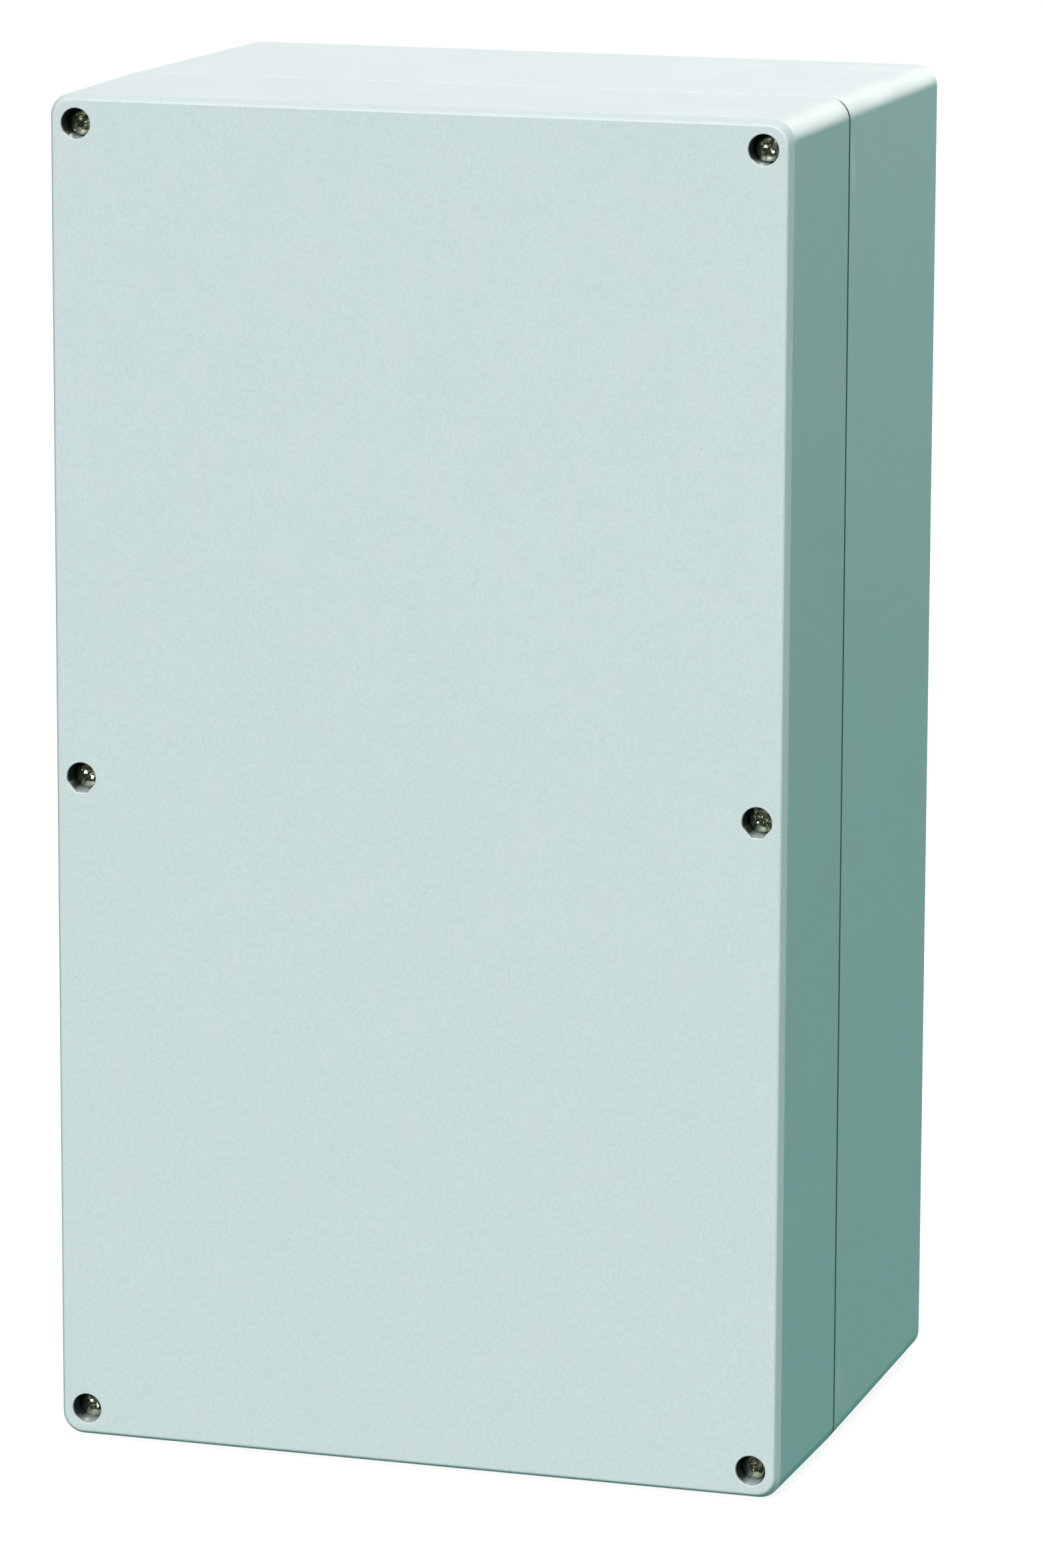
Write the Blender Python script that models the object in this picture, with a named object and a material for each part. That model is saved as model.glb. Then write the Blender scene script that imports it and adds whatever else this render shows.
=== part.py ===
"""Industrial enclosure: a deep moulded case and a deep cover that six captive screws hold shut.

Metres, +Z up. The cover faces -Y and the width runs along X, so left is -X. The origin is at the middle
of the box's underside. Outlines are lists of (x, z) points round the case's own centre.
"""

import math

import bmesh
import bpy

MM = 0.001
GAP = 0.3 * MM

# Outer shape, widest at the parting plane between case and cover
WIDTH = 200 * MM
HEIGHT = 360 * MM
DEPTH = 150 * MM
COVER_DEPTH = 54.5 * MM
PARTING_GAP = 0.4 * MM
DRAFT = math.tan(math.radians(0.5))
CORNER_RADIUS = 6 * MM
FRONT_EDGE_INSET = 1.5 * MM
FRONT_EDGE_DEPTH = 2.4 * MM
BACK_EDGE = 1.5 * MM

# Walls
BASE_WALL = 4.0 * MM
BASE_FLOOR = 4.0 * MM
COVER_WALL = 5.2 * MM
COVER_FRONT = 3.5 * MM
BACK_FIELD_INSET = 5.5 * MM
BACK_FIELD_DEPTH = 0.8 * MM

# Six columns that carry the screws outside the seal: four in the corners and two at mid height
COLUMN_WIDTH = 12.5 * MM
CORNER_COLUMN_HEIGHT = 28.5 * MM
MIDDLE_COLUMN_HEIGHT = 15.0 * MM
COLUMN_ROUND = 2.0 * MM
SEAL_ROUND = 7.0 * MM

# Seal: the case's tongue presses the gasket into the cover's groove; each pair is the inset of two sides
TONGUE_SIDES = (1.8 * MM, 3.4 * MM)
TONGUE_HEIGHT = 3.0 * MM
GROOVE_SIDES = (1.3 * MM, 4.1 * MM)
GROOVE_DEPTH = 6.0 * MM
GASKET_SIDES = (1.6 * MM, 3.8 * MM)

# Captive cover screws, M4
SCREW_EDGE = 8.0 * MM
SCREW_TRAVEL = 7.0 * MM
COUNTERBORE_RADIUS = 4.0 * MM
HEAD_RECESS = 4.5 * MM
HEAD_HEIGHT = 2.8 * MM
HEAD_RADIUS = 3.5 * MM
SHANK_RADIUS = 1.5 * MM
THREAD_RADIUS = 2.0 * MM
THREAD_PAST_PARTING = 8.0 * MM
THREAD_START = 0.5 * MM
TUBE_RADIUS = 2.4 * MM
NECK_RADIUS = 1.8 * MM
NECK_LENGTH = 1.5 * MM
RING_THICKNESS = 1.0 * MM
RING_RADII = (1.8 * MM, 3.6 * MM)
INSERT_LENGTH = 8.0 * MM
INSERT_RADII = (2.3 * MM, 2.8 * MM)
TIP_CLEARANCE = 14.0 * MM
SLOT_ANGLES = {"top_left": 43, "top_right": 62, "middle_left": 66, "middle_right": 124,
               "bottom_left": 62, "bottom_right": 53}

# Wall fixing, through the corner columns and outside the seal
FIXING_FROM_END = 23.0 * MM
FIXING_RADIUS = 2.7 * MM
FIXING_CHANNEL_RADIUS = 4.6 * MM
FIXING_SEAT = 6.0 * MM
CORE_RADIUS = 3.2 * MM
CORE_DEPTH = 68.0 * MM
POCKET_DEPTH = 45.0 * MM
POCKET_SIZE = (8.0 * MM, 12.6 * MM)
POCKET_ROUND = 1.5 * MM

# Mounting plate and top-hat rails
PLATE_SIZE = (160 * MM, 320 * MM)
PLATE_THICKNESS = 2.0 * MM
PLATE_ROUND = 4.0 * MM
BOSS_HEIGHT = 10.0 * MM
BOSS_RADIUS = 6.0 * MM
PILOT_RADIUS = 2.4 * MM
PILOT_DEPTH = 8.0 * MM
PLATE_SCREW_AT = (70 * MM, 150 * MM)
RAIL_LENGTH = 150 * MM
RAIL_WIDTH = 35 * MM
RAIL_WEB = 27 * MM
RAIL_HEIGHT = 7.5 * MM
RAIL_THICKNESS = 1.0 * MM
RAIL_OFFSET = 75 * MM
RAIL_SLOT = (15 * MM, 6.2 * MM)
RAIL_SLOT_PITCH = 25 * MM
RAIL_SCREW_X = 2.5 * RAIL_SLOT_PITCH
PAN_HEAD_RADIUS = 4.2 * MM
PAN_HEAD_HEIGHT = 2.6 * MM
PAN_SHANK_RADIUS = 2.1 * MM
PLATE_SHANK = 9.6 * MM
RAIL_SHANK = 6.0 * MM

# Planes across the depth
FRONT_Y = -DEPTH / 2
BACK_Y = DEPTH / 2
PARTING_Y = FRONT_Y + COVER_DEPTH
COVER_REAR_Y = PARTING_Y - PARTING_GAP / 2
BASE_RIM_Y = PARTING_Y + PARTING_GAP / 2
FLOOR_Y = BACK_Y - BASE_FLOOR
HEAD_Y = FRONT_Y + HEAD_RECESS + HEAD_HEIGHT
RING_Y = HEAD_Y + GAP
SEAT_Y = RING_Y + RING_THICKNESS + GAP
THREAD_Y = PARTING_Y + THREAD_START
NECK_REAR_Y = THREAD_Y - SCREW_TRAVEL - GAP
PLATE_FRONT_Y = FLOOR_Y - BOSS_HEIGHT - GAP - PLATE_THICKNESS
RAIL_BACK_Y = PLATE_FRONT_Y - GAP

CENTRE_Z = HEIGHT / 2
CIRCLE_STEPS = 16
ARC_STEPS = 2
PAST = 1.0 * MM


# Outlines

def circle(radius, centre=(0.0, 0.0), steps=CIRCLE_STEPS):
    turns = [2 * math.pi * i / steps for i in range(steps)]
    return [(centre[0] + radius * math.cos(t), centre[1] + radius * math.sin(t)) for t in turns]


def rounded(corners, radius_at):
    """Polygon with an arc at each corner; radius_at is given whether the corner turns left."""
    outline = []
    for i, (x, z) in enumerate(corners):
        before, after = corners[i - 1], corners[(i + 1) % len(corners)]
        into = direction(before, (x, z))
        out = direction((x, z), after)
        turn = into[0] * out[1] - into[1] * out[0]
        radius = radius_at(turn > 0)
        for step in range(ARC_STEPS + 1):
            angle = math.pi / 2 * step / ARC_STEPS
            along_in = radius * (math.sin(angle) - 1)
            along_out = radius * (1 - math.cos(angle))
            outline.append((x + into[0] * along_in + out[0] * along_out,
                            z + into[1] * along_in + out[1] * along_out))
    return outline


def direction(start, end):
    length = math.hypot(end[0] - start[0], end[1] - start[1])
    return (end[0] - start[0]) / length, (end[1] - start[1]) / length


def rectangle(width, height, radius, centre=(0.0, 0.0)):
    x, z = width / 2, height / 2
    corners = [(x, -z), (x, z), (-x, z), (-x, -z)]
    return [(centre[0] + px, centre[1] + pz) for px, pz in rounded(corners, lambda left: radius)]


def drafted(y):
    """How far the outside has drawn in at this depth, from the parting plane's full width."""
    return max(0.0, abs(y - PARTING_Y) - PARTING_GAP / 2) * DRAFT


def case_outline(y, inset=0.0):
    """Outside of case or cover at this depth, less any extra inset."""
    inset += drafted(y)
    return rectangle(WIDTH - 2 * inset, HEIGHT - 2 * inset, CORNER_RADIUS - inset / 2)


def seal_outline(inset):
    """Line that follows the case's edge, this far inside it, and goes round the six columns."""
    side = WIDTH / 2 - inset
    inner = side - COLUMN_WIDTH
    end = HEIGHT / 2 - inset
    corner = end - CORNER_COLUMN_HEIGHT
    middle = MIDDLE_COLUMN_HEIGHT / 2 + inset
    quarter = [(inner, middle), (side, middle), (side, corner), (inner, corner), (inner, end)]
    upper = quarter + [(-x, z) for x, z in reversed(quarter)]
    lower = [(-x, -z) for x, z in upper]
    return rounded(upper + lower, lambda left: SEAL_ROUND - inset if left else COLUMN_ROUND + inset)


# Meshes

def loft(sections, closed=False):
    """Mesh through (y, outline) sections, with flat ends, or joined end to start where closed."""
    shape = bmesh.new()
    rings = [[shape.verts.new((x, y, z)) for x, z in outline] for y, outline in sections]
    pairs = list(zip(rings, rings[1:] + rings[:1])) if closed else list(zip(rings, rings[1:]))
    for near, far in pairs:
        for i in range(len(near)):
            j = (i + 1) % len(near)
            shape.faces.new((near[i], near[j], far[j], far[i]))
    if not closed:
        shape.faces.new(rings[0])
        shape.faces.new(rings[-1])
    bmesh.ops.recalc_face_normals(shape, faces=shape.faces)
    return shape


def turned(profile, centre=(0.0, 0.0)):
    """Solid of revolution about Y through (y, radius) points."""
    return loft([(y, circle(radius, centre)) for y, radius in profile])


def band(outer, inner, front_y, rear_y):
    """Ring between two outlines."""
    return loft([(front_y, outer), (rear_y, outer), (rear_y, inner), (front_y, inner)], closed=True)


def joined(shapes):
    """One mesh that holds separate shapes, for a cutter."""
    whole = bmesh.new()
    for shape in shapes:
        part = bpy.data.meshes.new("part")
        shape.to_mesh(part)
        shape.free()
        whole.from_mesh(part)
        bpy.data.meshes.remove(part)
    return whole


def moved(shape, x=0.0, y=0.0, z=0.0):
    bmesh.ops.translate(shape, vec=(x, y, z), verts=shape.verts)
    return shape


def block(size, centre=(0.0, 0.0, 0.0)):
    shape = bmesh.new()
    bmesh.ops.create_cube(shape, size=1.0)
    bmesh.ops.scale(shape, vec=size, verts=shape.verts)
    bmesh.ops.translate(shape, vec=centre, verts=shape.verts)
    return shape


# Objects

def clear_scene():
    for obj in list(bpy.data.objects):
        bpy.data.objects.remove(obj, do_unlink=True)


def finish(name, colour, roughness, metallic=0.0):
    material = bpy.data.materials.new(name)
    material.use_nodes = True
    shader = material.node_tree.nodes["Principled BSDF"]
    shader.inputs["Base Color"].default_value = (*colour, 1.0)
    shader.inputs["Roughness"].default_value = roughness
    shader.inputs["Metallic"].default_value = metallic
    return material


def mesh_of(name, shape):
    mesh = bpy.data.meshes.new(name)
    shape.to_mesh(mesh)
    shape.free()
    mesh.shade_smooth()
    mesh.set_sharp_from_angle(angle=math.radians(35))
    return mesh


def place(name, mesh, material, location=(0.0, 0.0, 0.0), parent=None):
    obj = bpy.data.objects.new(name, mesh)
    bpy.context.scene.collection.objects.link(obj)
    obj.location = location
    obj.parent = parent
    if not mesh.materials:
        mesh.materials.append(material)
    return obj


def helper(name, shape):
    obj = bpy.data.objects.new(name, mesh_of(name, shape))
    bpy.context.scene.collection.objects.link(obj)
    obj.hide_render = True
    obj.display_type = "WIRE"
    return obj


def combine(obj, operation, name, shape):
    modifier = obj.modifiers.new(name, "BOOLEAN")
    modifier.operation = operation
    modifier.solver = "EXACT"
    modifier.object = helper(obj.name + "_" + name, shape)


def screw_places():
    """Name and (x, z) of each cover screw."""
    x = WIDTH / 2 - SCREW_EDGE
    z = HEIGHT / 2 - SCREW_EDGE
    rows = (("top", z), ("middle", 0.0), ("bottom", -z))
    return {f"{row}_{side}": (sign * x, height)
            for row, height in rows for side, sign in (("left", -1), ("right", 1))}


def fixing_places():
    x = WIDTH / 2 - SCREW_EDGE
    z = HEIGHT / 2 - FIXING_FROM_END
    return [(sx * x, sz * z) for sx in (-1, 1) for sz in (-1, 1)]


def plate_screw_places():
    x, z = PLATE_SCREW_AT
    rows = (("top", z), ("bottom", -z))
    return {f"{row}_{side}": (sign * x, height)
            for row, height in rows for side, sign in (("left", -1), ("right", 1))}


# Case

def base_body():
    edge_y = BACK_Y - BACK_EDGE
    shoulder_y = BACK_Y - BACK_EDGE * 0.3
    return loft([
        (BASE_RIM_Y, case_outline(BASE_RIM_Y)),
        (edge_y, case_outline(edge_y)),
        (shoulder_y, case_outline(shoulder_y, BACK_EDGE * 0.3)),
        (BACK_Y, case_outline(BACK_Y, BACK_EDGE)),
    ])


def base_cavity():
    mouth_y = BASE_RIM_Y - PAST
    return loft([(mouth_y, seal_outline(BASE_WALL)), (FLOOR_Y, seal_outline(BASE_WALL + drafted(FLOOR_Y)))])


def tongue():
    outer, inner = (seal_outline(side) for side in TONGUE_SIDES)
    return band(outer, inner, PARTING_Y - TONGUE_HEIGHT, BASE_RIM_Y + PAST)


def insert_holes():
    profile = [
        (BASE_RIM_Y - PAST, INSERT_RADII[1] + GAP),
        (THREAD_Y + INSERT_LENGTH + GAP, INSERT_RADII[1] + GAP),
        (THREAD_Y + INSERT_LENGTH + GAP, TUBE_RADIUS),
        (PARTING_Y + TIP_CLEARANCE, TUBE_RADIUS),
    ]
    return [turned(profile, place) for place in screw_places().values()]


def column_cores():
    """Hollows that the mould leaves behind each screw column."""
    profile = [(BACK_Y - CORE_DEPTH, CORE_RADIUS * 0.9), (BACK_Y + PAST, CORE_RADIUS)]
    return [turned(profile, place) for place in screw_places().values()]


def fixing_channels():
    profile = [
        (BASE_RIM_Y - PAST, FIXING_CHANNEL_RADIUS),
        (BACK_Y - FIXING_SEAT, FIXING_CHANNEL_RADIUS),
        (BACK_Y - FIXING_SEAT, FIXING_RADIUS),
        (BACK_Y + PAST, FIXING_RADIUS),
    ]
    return [turned(profile, place) for place in fixing_places()]


def plate_bosses():
    profile = [(FLOOR_Y - BOSS_HEIGHT, BOSS_RADIUS), (FLOOR_Y + PAST, BOSS_RADIUS + DRAFT * BOSS_HEIGHT)]
    return [turned(profile, place) for place in plate_screw_places().values()]


def pilot_holes():
    start = FLOOR_Y - BOSS_HEIGHT
    profile = [(start - PAST, PILOT_RADIUS), (start + PILOT_DEPTH, PILOT_RADIUS)]
    return [turned(profile, place) for place in plate_screw_places().values()]


def back_field():
    outline = seal_outline(BACK_FIELD_INSET)
    return loft([(BACK_Y - BACK_FIELD_DEPTH, outline), (BACK_Y + PAST, outline)])


def make_base(material):
    base = place("base", mesh_of("base", moved(base_body(), z=CENTRE_Z)), material)
    combine(base, "DIFFERENCE", "cavity", moved(base_cavity(), z=CENTRE_Z))
    combine(base, "UNION", "tongue", moved(tongue(), z=CENTRE_Z))
    combine(base, "UNION", "bosses", moved(joined(plate_bosses()), z=CENTRE_Z))
    holes = insert_holes() + column_cores() + fixing_channels() + pilot_holes() + [back_field()]
    combine(base, "DIFFERENCE", "holes", moved(joined(holes), z=CENTRE_Z))
    return base


def make_inserts(material, base):
    outer, inner = circle(INSERT_RADII[1]), circle(INSERT_RADII[0])
    mesh = mesh_of("thread_insert", band(outer, inner, 0.0, INSERT_LENGTH))
    for name, (x, z) in screw_places().items():
        place("thread_insert_" + name, mesh, material, (x, THREAD_Y, CENTRE_Z + z), base)


# Cover

def cover_body():
    edge_y = FRONT_Y + FRONT_EDGE_DEPTH
    shoulder_y = FRONT_Y + FRONT_EDGE_INSET / 2
    return loft([
        (COVER_REAR_Y, case_outline(COVER_REAR_Y)),
        (edge_y, case_outline(edge_y)),
        (shoulder_y, case_outline(shoulder_y, FRONT_EDGE_INSET / 4)),
        (FRONT_Y, case_outline(FRONT_Y, FRONT_EDGE_INSET)),
    ])


def cover_cavity():
    mouth_y, front_y = COVER_REAR_Y + PAST, FRONT_Y + COVER_FRONT
    return loft([(mouth_y, seal_outline(COVER_WALL)), (front_y, seal_outline(COVER_WALL + drafted(front_y)))])


def groove():
    outer, inner = (seal_outline(side) for side in GROOVE_SIDES)
    return band(outer, inner, PARTING_Y - GROOVE_DEPTH, COVER_REAR_Y + PAST)


def screw_tubes():
    profile = [
        (FRONT_Y - PAST, COUNTERBORE_RADIUS),
        (SEAT_Y, COUNTERBORE_RADIUS),
        (SEAT_Y, TUBE_RADIUS),
        (NECK_REAR_Y - NECK_LENGTH, TUBE_RADIUS),
        (NECK_REAR_Y - NECK_LENGTH, NECK_RADIUS),
        (NECK_REAR_Y, NECK_RADIUS),
        (NECK_REAR_Y, TUBE_RADIUS),
        (COVER_REAR_Y + PAST, TUBE_RADIUS),
    ]
    return [turned(profile, place) for place in screw_places().values()]


def fixing_pockets():
    """Hollows over the wall-fixing channels, which thin the cover's corner columns."""
    pockets = []
    for place in fixing_places():
        outline = rectangle(*POCKET_SIZE, POCKET_ROUND, place)
        pockets.append(loft([(COVER_REAR_Y - POCKET_DEPTH, outline), (COVER_REAR_Y + PAST, outline)]))
    return pockets


def make_cover(material):
    cover = place("cover", mesh_of("cover", moved(cover_body(), z=CENTRE_Z)), material)
    combine(cover, "DIFFERENCE", "cavity", moved(cover_cavity(), z=CENTRE_Z))
    combine(cover, "DIFFERENCE", "groove", moved(groove(), z=CENTRE_Z))
    holes = joined(screw_tubes() + fixing_pockets())
    combine(cover, "DIFFERENCE", "holes", moved(holes, z=CENTRE_Z))
    return cover


def make_gasket(material, cover):
    outer, inner = (seal_outline(side) for side in GASKET_SIDES)
    shape = band(outer, inner, PARTING_Y - GROOVE_DEPTH + GAP, PARTING_Y - TONGUE_HEIGHT - GAP)
    return place("cover_gasket", mesh_of("cover_gasket", moved(shape, z=CENTRE_Z)), material, parent=cover)


# Fasteners

def baked(name, shape, cutters):
    """Mesh of a shape less its cutters, which several objects can then share."""
    obj = bpy.data.objects.new(name, mesh_of(name, shape))
    bpy.context.scene.collection.objects.link(obj)
    for i, cutter in enumerate(cutters):
        combine(obj, "DIFFERENCE", f"recess_{i}", cutter)
    bpy.context.view_layer.update()
    graph = bpy.context.evaluated_depsgraph_get()
    mesh = bpy.data.meshes.new_from_object(obj.evaluated_get(graph))
    for temporary in [modifier.object for modifier in obj.modifiers] + [obj]:
        bpy.data.objects.remove(temporary, do_unlink=True)
    return mesh


def drive_recess(top_y, radius):
    """Slot across the head and a deeper cross in the middle."""
    slot = block((2.5 * radius, 2.0 * MM, 1.1 * MM), (0.0, top_y, 0.0))
    cross = block((1.1 * MM, 3.4 * MM, 1.25 * radius), (0.0, top_y, 0.0))
    return [slot, cross]


def cover_screw_mesh():
    """Screw with its origin under the head: a thin shank, so that the neck keeps it in the cover."""
    thread = THREAD_Y - HEAD_Y
    tip = PARTING_Y + THREAD_PAST_PARTING - HEAD_Y
    shape = turned([
        (-HEAD_HEIGHT, HEAD_RADIUS * 0.8),
        (-HEAD_HEIGHT * 0.8, HEAD_RADIUS),
        (0.0, HEAD_RADIUS),
        (0.0, SHANK_RADIUS),
        (thread, SHANK_RADIUS),
        (thread, THREAD_RADIUS),
        (tip - 0.5 * MM, THREAD_RADIUS),
        (tip, THREAD_RADIUS * 0.75),
    ])
    return baked("cover_screw", shape, drive_recess(-HEAD_HEIGHT, HEAD_RADIUS))


def pan_screw_mesh(name, shank):
    shape = turned([
        (-PAN_HEAD_HEIGHT, PAN_HEAD_RADIUS * 0.7),
        (-PAN_HEAD_HEIGHT * 0.6, PAN_HEAD_RADIUS),
        (0.0, PAN_HEAD_RADIUS),
        (0.0, PAN_SHANK_RADIUS),
        (shank - 0.8 * MM, PAN_SHANK_RADIUS),
        (shank, PAN_SHANK_RADIUS * 0.7),
    ])
    cross = [block(size, (0.0, -PAN_HEAD_HEIGHT, 0.0))
             for size in ((1.2 * MM, 2.4 * MM, 4.6 * MM), (4.6 * MM, 2.6 * MM, 1.2 * MM))]
    return baked(name, shape, cross)


def make_cover_screws(steel, nylon, cover):
    """Each ring rides under its screw's head, slides out with it and doesn't turn."""
    outer, inner = circle(RING_RADII[1]), circle(RING_RADII[0])
    ring_mesh = mesh_of("screw_ring", band(outer, inner, 0.0, RING_THICKNESS))
    screw_mesh = cover_screw_mesh()
    for name, (x, z) in screw_places().items():
        ring = place("screw_ring_" + name, ring_mesh, nylon, (x, RING_Y, CENTRE_Z + z), cover)
        screw = place("cover_screw_" + name, screw_mesh, steel, (0.0, HEAD_Y - RING_Y, 0.0), ring)
        screw.rotation_euler = (0.0, -math.radians(SLOT_ANGLES[name]), 0.0)


# Mounting plate and rails

def plate_holes():
    places = list(plate_screw_places().values())
    places += [(x, z) for x in (-RAIL_SCREW_X, RAIL_SCREW_X) for z in (-RAIL_OFFSET, RAIL_OFFSET)]
    profile = [(PLATE_FRONT_Y - PAST, PILOT_RADIUS), (PLATE_FRONT_Y + PLATE_THICKNESS + PAST, PILOT_RADIUS)]
    return [turned(profile, place) for place in places]


def make_plate(material, base):
    outline = rectangle(*PLATE_SIZE, PLATE_ROUND)
    shape = loft([(PLATE_FRONT_Y, outline), (PLATE_FRONT_Y + PLATE_THICKNESS, outline)])
    plate = place("mounting_plate", mesh_of("mounting_plate", moved(shape, z=CENTRE_Z)), material, parent=base)
    combine(plate, "DIFFERENCE", "holes", moved(joined(plate_holes()), z=CENTRE_Z))
    return plate


def rail_profile():
    """Top-hat section as (height above the plate, across) points, open side towards the plate's front."""
    web, edge = RAIL_WEB / 2, RAIL_WIDTH / 2
    thick, top = RAIL_THICKNESS, RAIL_HEIGHT
    outer = [(0.0, web), (top - thick, web), (top - thick, edge), (top, edge), (top, web - thick)]
    half = outer + [(thick, web - thick)]
    return half + [(height, -across) for height, across in reversed(half)]


def rail_slots():
    """Slots along the web, which lies on the plate."""
    length, width = RAIL_SLOT
    ends = math.radians(180) / (CIRCLE_STEPS // 2)
    outline = []
    for side in (1, -1):
        for step in range(CIRCLE_STEPS // 2 + 1):
            angle = ends * step - math.pi / 2
            outline.append((side * ((length - width) / 2 + width / 2 * math.cos(angle)),
                            side * width / 2 * math.sin(angle)))
    centres = [RAIL_SLOT_PITCH * (i - 2.5) for i in range(6)]
    shapes = []
    for centre in centres:
        points = [(x + centre, z) for x, z in outline]
        shapes.append(loft([(-PAST, points), (RAIL_THICKNESS + PAST, points)]))
    return shapes


def make_rail(name, z, material, plate):
    """The section runs along X: it is lofted along Y from end to end and turned."""
    section = [(-height, across) for height, across in rail_profile()]
    shape = loft([(-RAIL_LENGTH / 2, section), (RAIL_LENGTH / 2, section)])
    for vertex in shape.verts:
        x, y, across = vertex.co
        vertex.co = (y, x, across)
    bmesh.ops.recalc_face_normals(shape, faces=shape.faces)
    moved(shape, y=RAIL_BACK_Y, z=CENTRE_Z + z)
    rail = place(name, mesh_of(name, shape), material, parent=plate)
    slots = moved(joined(rail_slots()), y=RAIL_BACK_Y - RAIL_THICKNESS, z=CENTRE_Z + z)
    combine(rail, "DIFFERENCE", "slots", slots)
    return rail


def make_inner_fasteners(material, plate):
    plate_screw = pan_screw_mesh("plate_screw", PLATE_SHANK)
    for name, (x, z) in plate_screw_places().items():
        where = (x, PLATE_FRONT_Y - GAP, CENTRE_Z + z)
        place("plate_screw_" + name, plate_screw, material, where, plate)
    rail_screw = pan_screw_mesh("rail_screw", RAIL_SHANK)
    web_y = RAIL_BACK_Y - RAIL_THICKNESS - GAP
    for row, height in (("upper", RAIL_OFFSET), ("lower", -RAIL_OFFSET)):
        for side, sign in (("left", -1), ("right", 1)):
            where = (sign * RAIL_SCREW_X, web_y, CENTRE_Z + height)
            place(f"rail_screw_{row}_{side}", rail_screw, material, where, plate)


def main():
    clear_scene()
    plastic = finish("light_grey_plastic", (0.56, 0.66, 0.65), 0.45)
    foam = finish("gasket_foam", (0.05, 0.05, 0.055), 0.8)
    brass = finish("brass", (0.72, 0.53, 0.24), 0.3, 1.0)
    steel = finish("stainless_steel", (0.62, 0.62, 0.6), 0.22, 1.0)
    nylon = finish("nylon", (0.75, 0.74, 0.7), 0.5)
    zinc = finish("zinc_plated_steel", (0.6, 0.61, 0.6), 0.35, 1.0)

    base = make_base(plastic)
    make_inserts(brass, base)
    plate = make_plate(zinc, base)
    make_rail("upper_rail", RAIL_OFFSET, zinc, plate)
    make_rail("lower_rail", -RAIL_OFFSET, zinc, plate)
    make_inner_fasteners(zinc, plate)
    cover = make_cover(plastic)
    make_gasket(foam, cover)
    make_cover_screws(steel, nylon, cover)


main()
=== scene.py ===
"""Finished look of the enclosure: mouldings, screws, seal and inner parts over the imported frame.

Metres, +Z up. The cover faces -Y and the width runs along X. Outlines are lists of (x, z) points
round the case's own centre; a section is a depth y and an outline.
"""
import math

import bmesh
import bpy
from mathutils import Matrix, Vector


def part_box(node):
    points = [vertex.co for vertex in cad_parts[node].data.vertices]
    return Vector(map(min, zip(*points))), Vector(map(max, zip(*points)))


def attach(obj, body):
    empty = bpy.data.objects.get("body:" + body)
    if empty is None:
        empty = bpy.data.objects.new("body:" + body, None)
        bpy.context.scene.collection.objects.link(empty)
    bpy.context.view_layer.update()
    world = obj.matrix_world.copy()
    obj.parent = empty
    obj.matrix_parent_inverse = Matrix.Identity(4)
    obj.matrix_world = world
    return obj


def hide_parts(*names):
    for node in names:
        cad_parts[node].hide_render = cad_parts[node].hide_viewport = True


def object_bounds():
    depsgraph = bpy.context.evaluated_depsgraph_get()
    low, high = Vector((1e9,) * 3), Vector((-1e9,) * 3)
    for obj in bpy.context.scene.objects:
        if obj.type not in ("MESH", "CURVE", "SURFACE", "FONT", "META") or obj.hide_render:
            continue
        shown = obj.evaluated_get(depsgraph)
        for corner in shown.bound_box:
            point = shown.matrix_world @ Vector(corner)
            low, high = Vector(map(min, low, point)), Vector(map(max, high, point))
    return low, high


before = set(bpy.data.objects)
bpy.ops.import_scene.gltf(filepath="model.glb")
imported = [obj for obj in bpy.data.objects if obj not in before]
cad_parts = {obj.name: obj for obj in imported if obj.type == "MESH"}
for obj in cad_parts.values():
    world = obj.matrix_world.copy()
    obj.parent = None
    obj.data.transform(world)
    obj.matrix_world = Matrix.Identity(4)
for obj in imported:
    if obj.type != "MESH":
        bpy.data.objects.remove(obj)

CAD_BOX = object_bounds()
MM = 0.001

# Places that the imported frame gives
BASE_LOW, BASE_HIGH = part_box("base")
COVER_LOW, COVER_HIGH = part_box("cover")
WIDTH = BASE_HIGH.x - BASE_LOW.x
HEIGHT = BASE_HIGH.z - BASE_LOW.z
CENTRE_Z = (BASE_HIGH.z + BASE_LOW.z) / 2
FRONT_Y = COVER_LOW.y
BACK_Y = BASE_HIGH.y
COVER_REAR_Y = COVER_HIGH.y
TONGUE_TIP_Y = BASE_LOW.y
CORNERS = ("top_left", "top_right", "bottom_left", "bottom_right")
SCREWS = ("top_left", "top_right", "middle_left", "middle_right", "bottom_left", "bottom_right")

# Outer shape
PARTING_GAP = 0.4 * MM
PARTING_Y = COVER_REAR_Y + PARTING_GAP / 2
BASE_RIM_Y = COVER_REAR_Y + PARTING_GAP
DRAFT = math.tan(math.radians(0.5))
CORNER_RADIUS = 6 * MM
RIM_ROUND = 0.2 * MM
BASE_RIM_ROUND = 0.15 * MM
LIP_WIDTH = 0.65 * MM
LIP_DEPTH = 1.0 * MM
CREASE_DEPTH = 2.4 * MM
CREASE_ROUND = 0.5 * MM
FACET_LEAN = math.radians(26)
FACET_DEPTH = 1.95 * MM
BACK_ROUND = 1.5 * MM

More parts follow.
